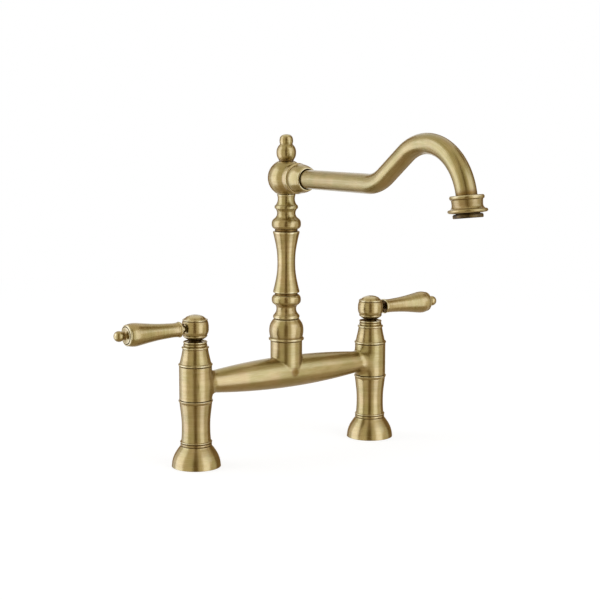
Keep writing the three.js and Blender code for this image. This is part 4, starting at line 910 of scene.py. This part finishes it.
# %% Words for materials
class Signal:
    """One socket of a node tree, with arithmetic on it."""

    def __init__(self, tree, socket):
        self.tree, self.socket = tree, socket

    def _math(self, operation, first, second=0.0, clamp=False):
        settings = {"operation": operation, "use_clamp": clamp}
        return self.tree.add("ShaderNodeMath", settings, {0: first, 1: second})

    def __add__(self, other):
        return self._math("ADD", self, other)

    __radd__ = __add__

    def __mul__(self, other):
        return self._math("MULTIPLY", self, other)

    __rmul__ = __mul__

    def __rsub__(self, other):
        return self._math("SUBTRACT", other, self)

    def clamped(self):
        return self._math("ADD", self, 0.0, clamp=True)


class Finish:
    """A material, or a world, whose nodes are added one expression at a time."""

    def __init__(self, name, world=None):
        self.material = world or bpy.data.materials.new(name)
        self.material.use_nodes = True
        self.tree = self.material.node_tree
        self.tree.nodes.clear()

    def add(self, kind, settings=None, values=None, output=0):
        node = self.tree.nodes.new(kind)
        for key, value in (settings or {}).items():
            setattr(node, key, value)
        for key, value in (values or {}).items():
            if isinstance(value, Signal):
                self.tree.links.new(value.socket, node.inputs[key])
            elif value is not None:
                node.inputs[key].default_value = value
        return Signal(self, node.outputs[output])

    def mark(self, name):
        """One of the marks that the pieces carry."""
        vector = name == "lathe"
        settings = {"attribute_name": name, "attribute_type": "GEOMETRY"}
        return self.add("ShaderNodeAttribute", settings, output="Vector" if vector else "Fac")

    def noise(self, place, stretch, detail, roughness, scale=1.0):
        values = {"Vector": place, "Scale": stretch}
        vector = self.add("ShaderNodeMapping", {"vector_type": "POINT"}, values)
        values = {"Vector": vector, "Scale": scale, "Detail": detail, "Roughness": roughness}
        return self.add("ShaderNodeTexNoise", {"noise_dimensions": "3D"}, values)

    def ramp(self, factor, low, high):
        """0 below low, 1 above high, and a smooth rise between."""
        settings = {"interpolation_type": "SMOOTHSTEP"}
        values = {"Value": factor, "From Min": low, "From Max": high}
        return self.add("ShaderNodeMapRange", settings, values)

    def mix(self, factor, first, second, blend="MIX"):
        """A colour between two colours."""
        node = self.tree.nodes.new("ShaderNodeMix")
        node.data_type, node.blend_type = "RGBA", blend
        for index, value in ((0, factor), (6, first), (7, second)):
            socket = node.inputs[index]
            if isinstance(value, Signal):
                self.tree.links.new(value.socket, socket)
            else:
                socket.default_value = value
        return Signal(self, node.outputs[2])

    def bump(self, height, strength, distance):
        values = {"Strength": strength, "Distance": distance, "Height": height}
        return self.add("ShaderNodeBump", {}, values)

    def surface(self, **sockets):
        names = {key.replace("_", " "): value for key, value in sockets.items()}
        shader = self.add("ShaderNodeBsdfPrincipled", {}, names)
        self.add_output(shader)
        return self.material

    def add_output(self, shader, kind="ShaderNodeOutputMaterial"):
        node = self.tree.nodes.new(kind)
        self.tree.links.new(shader.socket, node.inputs["Surface"])


def tint(hexadecimal):
    """A colour as it is written in sRGB, as the linear numbers that a shader works with."""
    channels = [int(hexadecimal[i : i + 2], 16) / 255 for i in (0, 2, 4)]
    linear = [c / 12.92 if c <= 0.04045 else ((c + 0.055) / 1.055) ** 2.4 for c in channels]
    return (*linear, 1.0)


print("brushed brass in linear light:", [round(c, 3) for c in tint("a68f57")])

# %% [markdown]
# ## Brushed antique brass
# Lines, broader bands, slow clouds and patches of patina are four noises on the lathe's
# coordinates. Lines and bands are stretched around the axis. Grooves keep their brown, and the same
# brown is painted shade in creases and where pieces meet. What lies deep in bores and gaps gets a
# painted near-black shade. Edges that stand proud are a little lighter, and a satin coat lies over
# all.

# %% Mix the brass
def antique_brass(name, line_stretch, line_depth, gold, olive, streak=0.0):
    brass = Finish(name)
    place, depth, wear = (brass.mark(name) for name in ("lathe", "depth", "wear"))
    around, along = line_stretch
    lines = brass.noise(place, (around, around, along), 1.5, 0.5)
    broad = (around * 0.4, around * 0.4, along * 0.16)
    bands = brass.noise(place, broad, 2.0, 0.5)
    clouds = brass.noise(place, (0.055, 0.055, 0.075), 3.0, 0.55)
    patches = brass.noise(place, (0.09, 0.09, 0.04), 2.0, 0.5)
    groove_and_shade = brass.ramp(depth, 0.12, 1.1)
    edge = brass.ramp(wear, 0.06, 0.4)
    metal = brass.mix(brass.ramp(clouds, 0.36, 0.64), tint(gold), tint(olive))
    for share, colour in (
        (brass.ramp(patches, 0.5, 0.72) * 0.26, "9c7442"),
        (brass.ramp(bands, 0.35, 0.75) * 0.3, "80642b"),
        (brass.ramp(lines, 0.4, 0.7) * 0.2, "c2b07a"),
        (edge * 0.38, "d8c994"),
        # brown patina in grooves, and painted shade in creases and where pieces meet
        (groove_and_shade * 0.68, "68450f"),
        # painted shade: near-black in bores, wells and gaps, at the collar and at the mitre's tip
        (brass.ramp(depth, 1.2, 2.6) * 0.8, "3b270c"),
    ):
        metal = brass.mix(share, metal, tint(colour))
    roughness = 0.25 + lines * 0.05 + bands * 0.05 + groove_and_shade * 0.1
    return brass.surface(
        Base_Color=metal,
        Metallic=1.0,
        Roughness=roughness.clamped(),
        Anisotropic=streak,
        Anisotropic_Rotation=0.25,
        Coat_Weight=0.7 - brass.ramp(depth, 0.3, 1.5) * 0.6,
        Coat_Roughness=0.22,
        Normal=brass.bump(lines * 0.7 + bands * 0.3, line_depth, 0.02 * MM),
    )


GOLD, OLIVE, AROUND = "a48b4e", "958241", (0.1, 2.6)
turned_brass = antique_brass("antique_brass_turned", AROUND, 0.13, GOLD, OLIVE)
upright_brass = antique_brass("antique_brass_upright", AROUND, 0.12, GOLD, OLIVE, streak=0.6)
drawn_brass = antique_brass("antique_brass_drawn", (1.2, 0.06), 0.1, "9b8445", "8c7b39")

# %% [markdown]
# ## The finishes that hardly show
# The aerator is dark. Inside are raw machined brass, steel, rubber, ceramic and nylon. These
# finishes read Object coordinates, because the meshes inside come straight from the CAD model.

# %% Mix the other finishes
def plain_finish(name, colour, darker, grain_size, roughness, metallic, relief, stretch=(1, 1, 1)):
    """A colour with slow variation and a fine grain of the given size in mm."""
    finish = Finish(name)
    place = finish.add("ShaderNodeTexCoord", {}, {}, output="Object")
    grain_scale = tuple(s / (grain_size * MM) for s in stretch)
    grain = finish.noise(place, grain_scale, 2.0, 0.6)
    slow = finish.noise(place, (1, 1, 1), 2.0, 0.5, scale=0.25 / (grain_size * MM) / 4)
    colours = finish.mix(finish.ramp(slow, 0.3, 0.7), tint(colour), tint(darker))
    colours = finish.mix(finish.ramp(grain, 0.4, 0.8) * 0.3, colours, tint(darker))
    return finish.surface(
        Base_Color=colours,
        Metallic=metallic,
        Roughness=(roughness + grain * 0.12).clamped(),
        Normal=finish.bump(grain, relief, 0.02 * MM),
    )


finishes = {
    "brass": turned_brass,
    "inner_brass": plain_finish("machined_brass", "c9a95c", "a98a42", 0.25, 0.24, 1.0, 0.3, (1, 1, 8)),
    "steel": plain_finish("steel", "b9bbbc", "94979a", 0.2, 0.26, 1.0, 0.2, (1, 1, 6)),
    "rubber": plain_finish("black_rubber", "1b1b1c", "101011", 0.4, 0.6, 0.0, 0.35),
    "ceramic": plain_finish("ceramic", "ece8df", "dcd6c8", 0.5, 0.16, 0.0, 0.05),
    "nylon": plain_finish("nylon", "d9d5c6", "c6c0ad", 0.4, 0.42, 0.0, 0.15),
    "dark_plastic": plain_finish("dark_plastic", "6b5526", "3a2b10", 0.35, 0.3, 0.7, 0.2),
}

# %% Give every piece its finish
def paint(piece, material):
    piece.data.materials.clear()
    piece.data.materials.append(material)


for piece, node, body, finish, lathe in dressed:
    upright = lathe in (pillar, left_pillar, column) and finish == "brass"
    paint(piece, drawn_brass if piece is tube else upright_brass if upright else finishes[finish])

inside = {
    "inner_brass": ["valve_body", "valve_spindle", "spout_spigot", "spout_riser"],
    "steel": ["spindle_clip", "hub_screw", "spigot_snap_ring"],
    "rubber": ["base_gasket", "valve_seat_seal", "seal_ring", "aerator_washer"],
    "ceramic": ["valve_fixed_disc", "valve_moving_disc"],
    "nylon": ["swivel_bush"],
}
replaced = {node for _, node, *_ in dressed}
for node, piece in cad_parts.items():
    if node in replaced:
        continue
    found = [finish for finish, words in inside.items() if any(word in node for word in words)]
    assert len(found) == 1, (node, found)
    paint(piece, finishes[found[0]])
print(len(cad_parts) - len(replaced), "inner pieces keep their CAD shape")

# %% [markdown]
# ## The studio
# Brass shows what stands around it more than its own colour. The photograph's highlights suggest a
# tall soft box on the left, another to the right of the camera, and dark flags between and behind.
# Two lamps give the soft light. Cards that only reflections see stand for the boxes and flags, in
# tuned tints. The floor is white to the camera and keeps the shadow. Reflections look past it into
# a room of the same white.

# %% Set the floor
AIM = Vector((0, -0.06, 0.14))


def looked_at(finish):
    """1 for what is seen, also in a reflection, and 0 for the light that falls on things."""
    light_path = finish.tree.nodes.new("ShaderNodeLightPath")
    kinds = ("Is Camera Ray", "Is Glossy Ray", "Is Transmission Ray")
    rays = [Signal(finish, light_path.outputs[kind]) for kind in kinds]
    return (rays[0] + rays[1] + rays[2]).clamped()


def floor_paint():
    paint_mix = Finish("studio_floor")
    seen = looked_at(paint_mix)
    place = paint_mix.add("ShaderNodeTexCoord", {}, {}, output="Object")
    away = paint_mix.add("ShaderNodeVectorMath", {"operation": "LENGTH"}, {0: place}, output="Value")
    far = paint_mix.ramp(away, 0.3, 1.1)
    near_white, near_grey = (0.78, 0.78, 0.78, 1), (0.3, 0.3, 0.3, 1)
    glow_colour = paint_mix.mix(far, near_white, (1, 1, 1, 1))
    glow = paint_mix.add("ShaderNodeEmission", {}, {"Color": glow_colour, "Strength": 1.0})
    thin_colour = paint_mix.mix(far, near_grey, (0, 0, 0, 1))
    thin = paint_mix.add("ShaderNodeBsdfDiffuse", {}, {"Color": thin_colour})
    both = paint_mix.add("ShaderNodeAddShader", {}, {0: glow, 1: thin})
    plain = paint_mix.add("ShaderNodeBsdfDiffuse", {}, {"Color": (0.8, 0.8, 0.8, 1)})
    paint_mix.add_output(paint_mix.add("ShaderNodeMixShader", {}, {0: seen, 1: plain, 2: both}))
    return paint_mix.material


nothing_selected()
bpy.ops.mesh.primitive_plane_add(size=60, location=(0, 0, -0.0002))
floor = bpy.context.object
floor.name = "studio_floor"
paint(floor, floor_paint())
floor.visible_glossy = False
print("the floor is 60 m wide")


# %% Hang the lamps
def around_object(azimuth, distance, height):
    """A place at an azimuth in degrees from the camera's side, positive to the right."""
    back = Vector((BACKWARD.x, BACKWARD.y, 0)).normalized()
    right = Vector((RIGHTWARD.x, RIGHTWARD.y, 0)).normalized()
    turn = math.radians(azimuth)
    outward = back * math.cos(turn) + right * math.sin(turn)
    return Vector((AIM.x, AIM.y, height)) + outward * distance


def turn_towards(thing, target):
    thing.rotation_euler = (target - thing.location).to_track_quat("-Z", "Y").to_euler()


def lamp(name, azimuth, height, size, radiance):
    light = bpy.data.lights.new(name, "AREA")
    light.shape, light.size = "SQUARE", size
    light.energy = radiance * math.pi * size * size
    holder = bpy.data.objects.new(name, light)
    bpy.context.scene.collection.objects.link(holder)
    holder.location = around_object(azimuth, 1.7, height)
    turn_towards(holder, AIM)
    holder.visible_glossy = False


lamp("left_lamp", -88, 1.1, 1.3, 2.0)
lamp("right_lamp", 55, 1.1, 1.3, 2.0)


# %% Stand the cards that reflections see
def card(name, place, target, width, tall, level, hue=(1.0, 1.0, 1.0)):
    nothing_selected()
    bpy.ops.mesh.primitive_plane_add(size=1, location=place)
    board = bpy.context.object
    board.name = name
    board.scale = (width, tall, 1)
    turn_towards(board, target)
    cloth = Finish(name)
    glow = {"Color": (*(level * channel for channel in hue), 1), "Strength": 1.0}
    cloth.add_output(cloth.add("ShaderNodeEmission", {}, glow))
    cloth.material.cycles.emission_sampling = "NONE"
    paint(board, cloth.material)
    board.visible_camera = board.visible_diffuse = board.visible_shadow = False
    board.visible_transmission = board.visible_volume_scatter = False
    return board


COOL, WARM, FLOOR_TINT = (0.97, 1.09, 1.62), (1.2, 0.79, 0.33), (1.1, 0.95, 0.78)


def standing_card(name, azimuth, degrees_wide, level, hue, low=-1.3, high=1.6, distance=2.0):
    height = (low + high) / 2
    width = 2 * distance * math.tan(math.radians(degrees_wide / 2))
    place = around_object(azimuth, distance, height)
    return card(name, place, Vector((AIM.x, AIM.y, height)), width, high - low, level, hue)


standing_card("left_box", -88, 44, 2.3, COOL, high=2.3)
standing_card("right_box", 52, 34, 2.15, COOL, high=2.3)
standing_card("high_box", 79, 20, 1.75, COOL, low=0.5, high=1.75)
standing_card("high_flag", 118, 44, 0.25, WARM, low=1.75, high=3.2)
standing_card("front_flag", -2, 26, 0.18, WARM, high=6.5)
standing_card("right_flag", 145, 66, 0.25, WARM, distance=2.2)
standing_card("left_flag", -150, 26, 0.3, WARM, distance=2.2)
under = card("low_flag", Vector((AIM.x, AIM.y, -1.1)), AIM, 3.2, 3.2, 0.52, FLOOR_TINT)
under.rotation_euler = (0, 0, 0)

# %% Light the room
world = bpy.data.worlds.new("room")
bpy.context.scene.world = world
room = Finish("room", world)
white, soft = (
    room.add("ShaderNodeBackground", {}, {"Color": colour, "Strength": 1.0})
    for colour in ((1, 1, 1, 1), (0.62, 0.61, 0.59, 1))
)
both = room.add("ShaderNodeMixShader", {}, {0: looked_at(room), 1: soft, 2: white})
room.add_output(both, "ShaderNodeOutputWorld")
bpy.context.scene.view_settings.view_transform = "Standard"
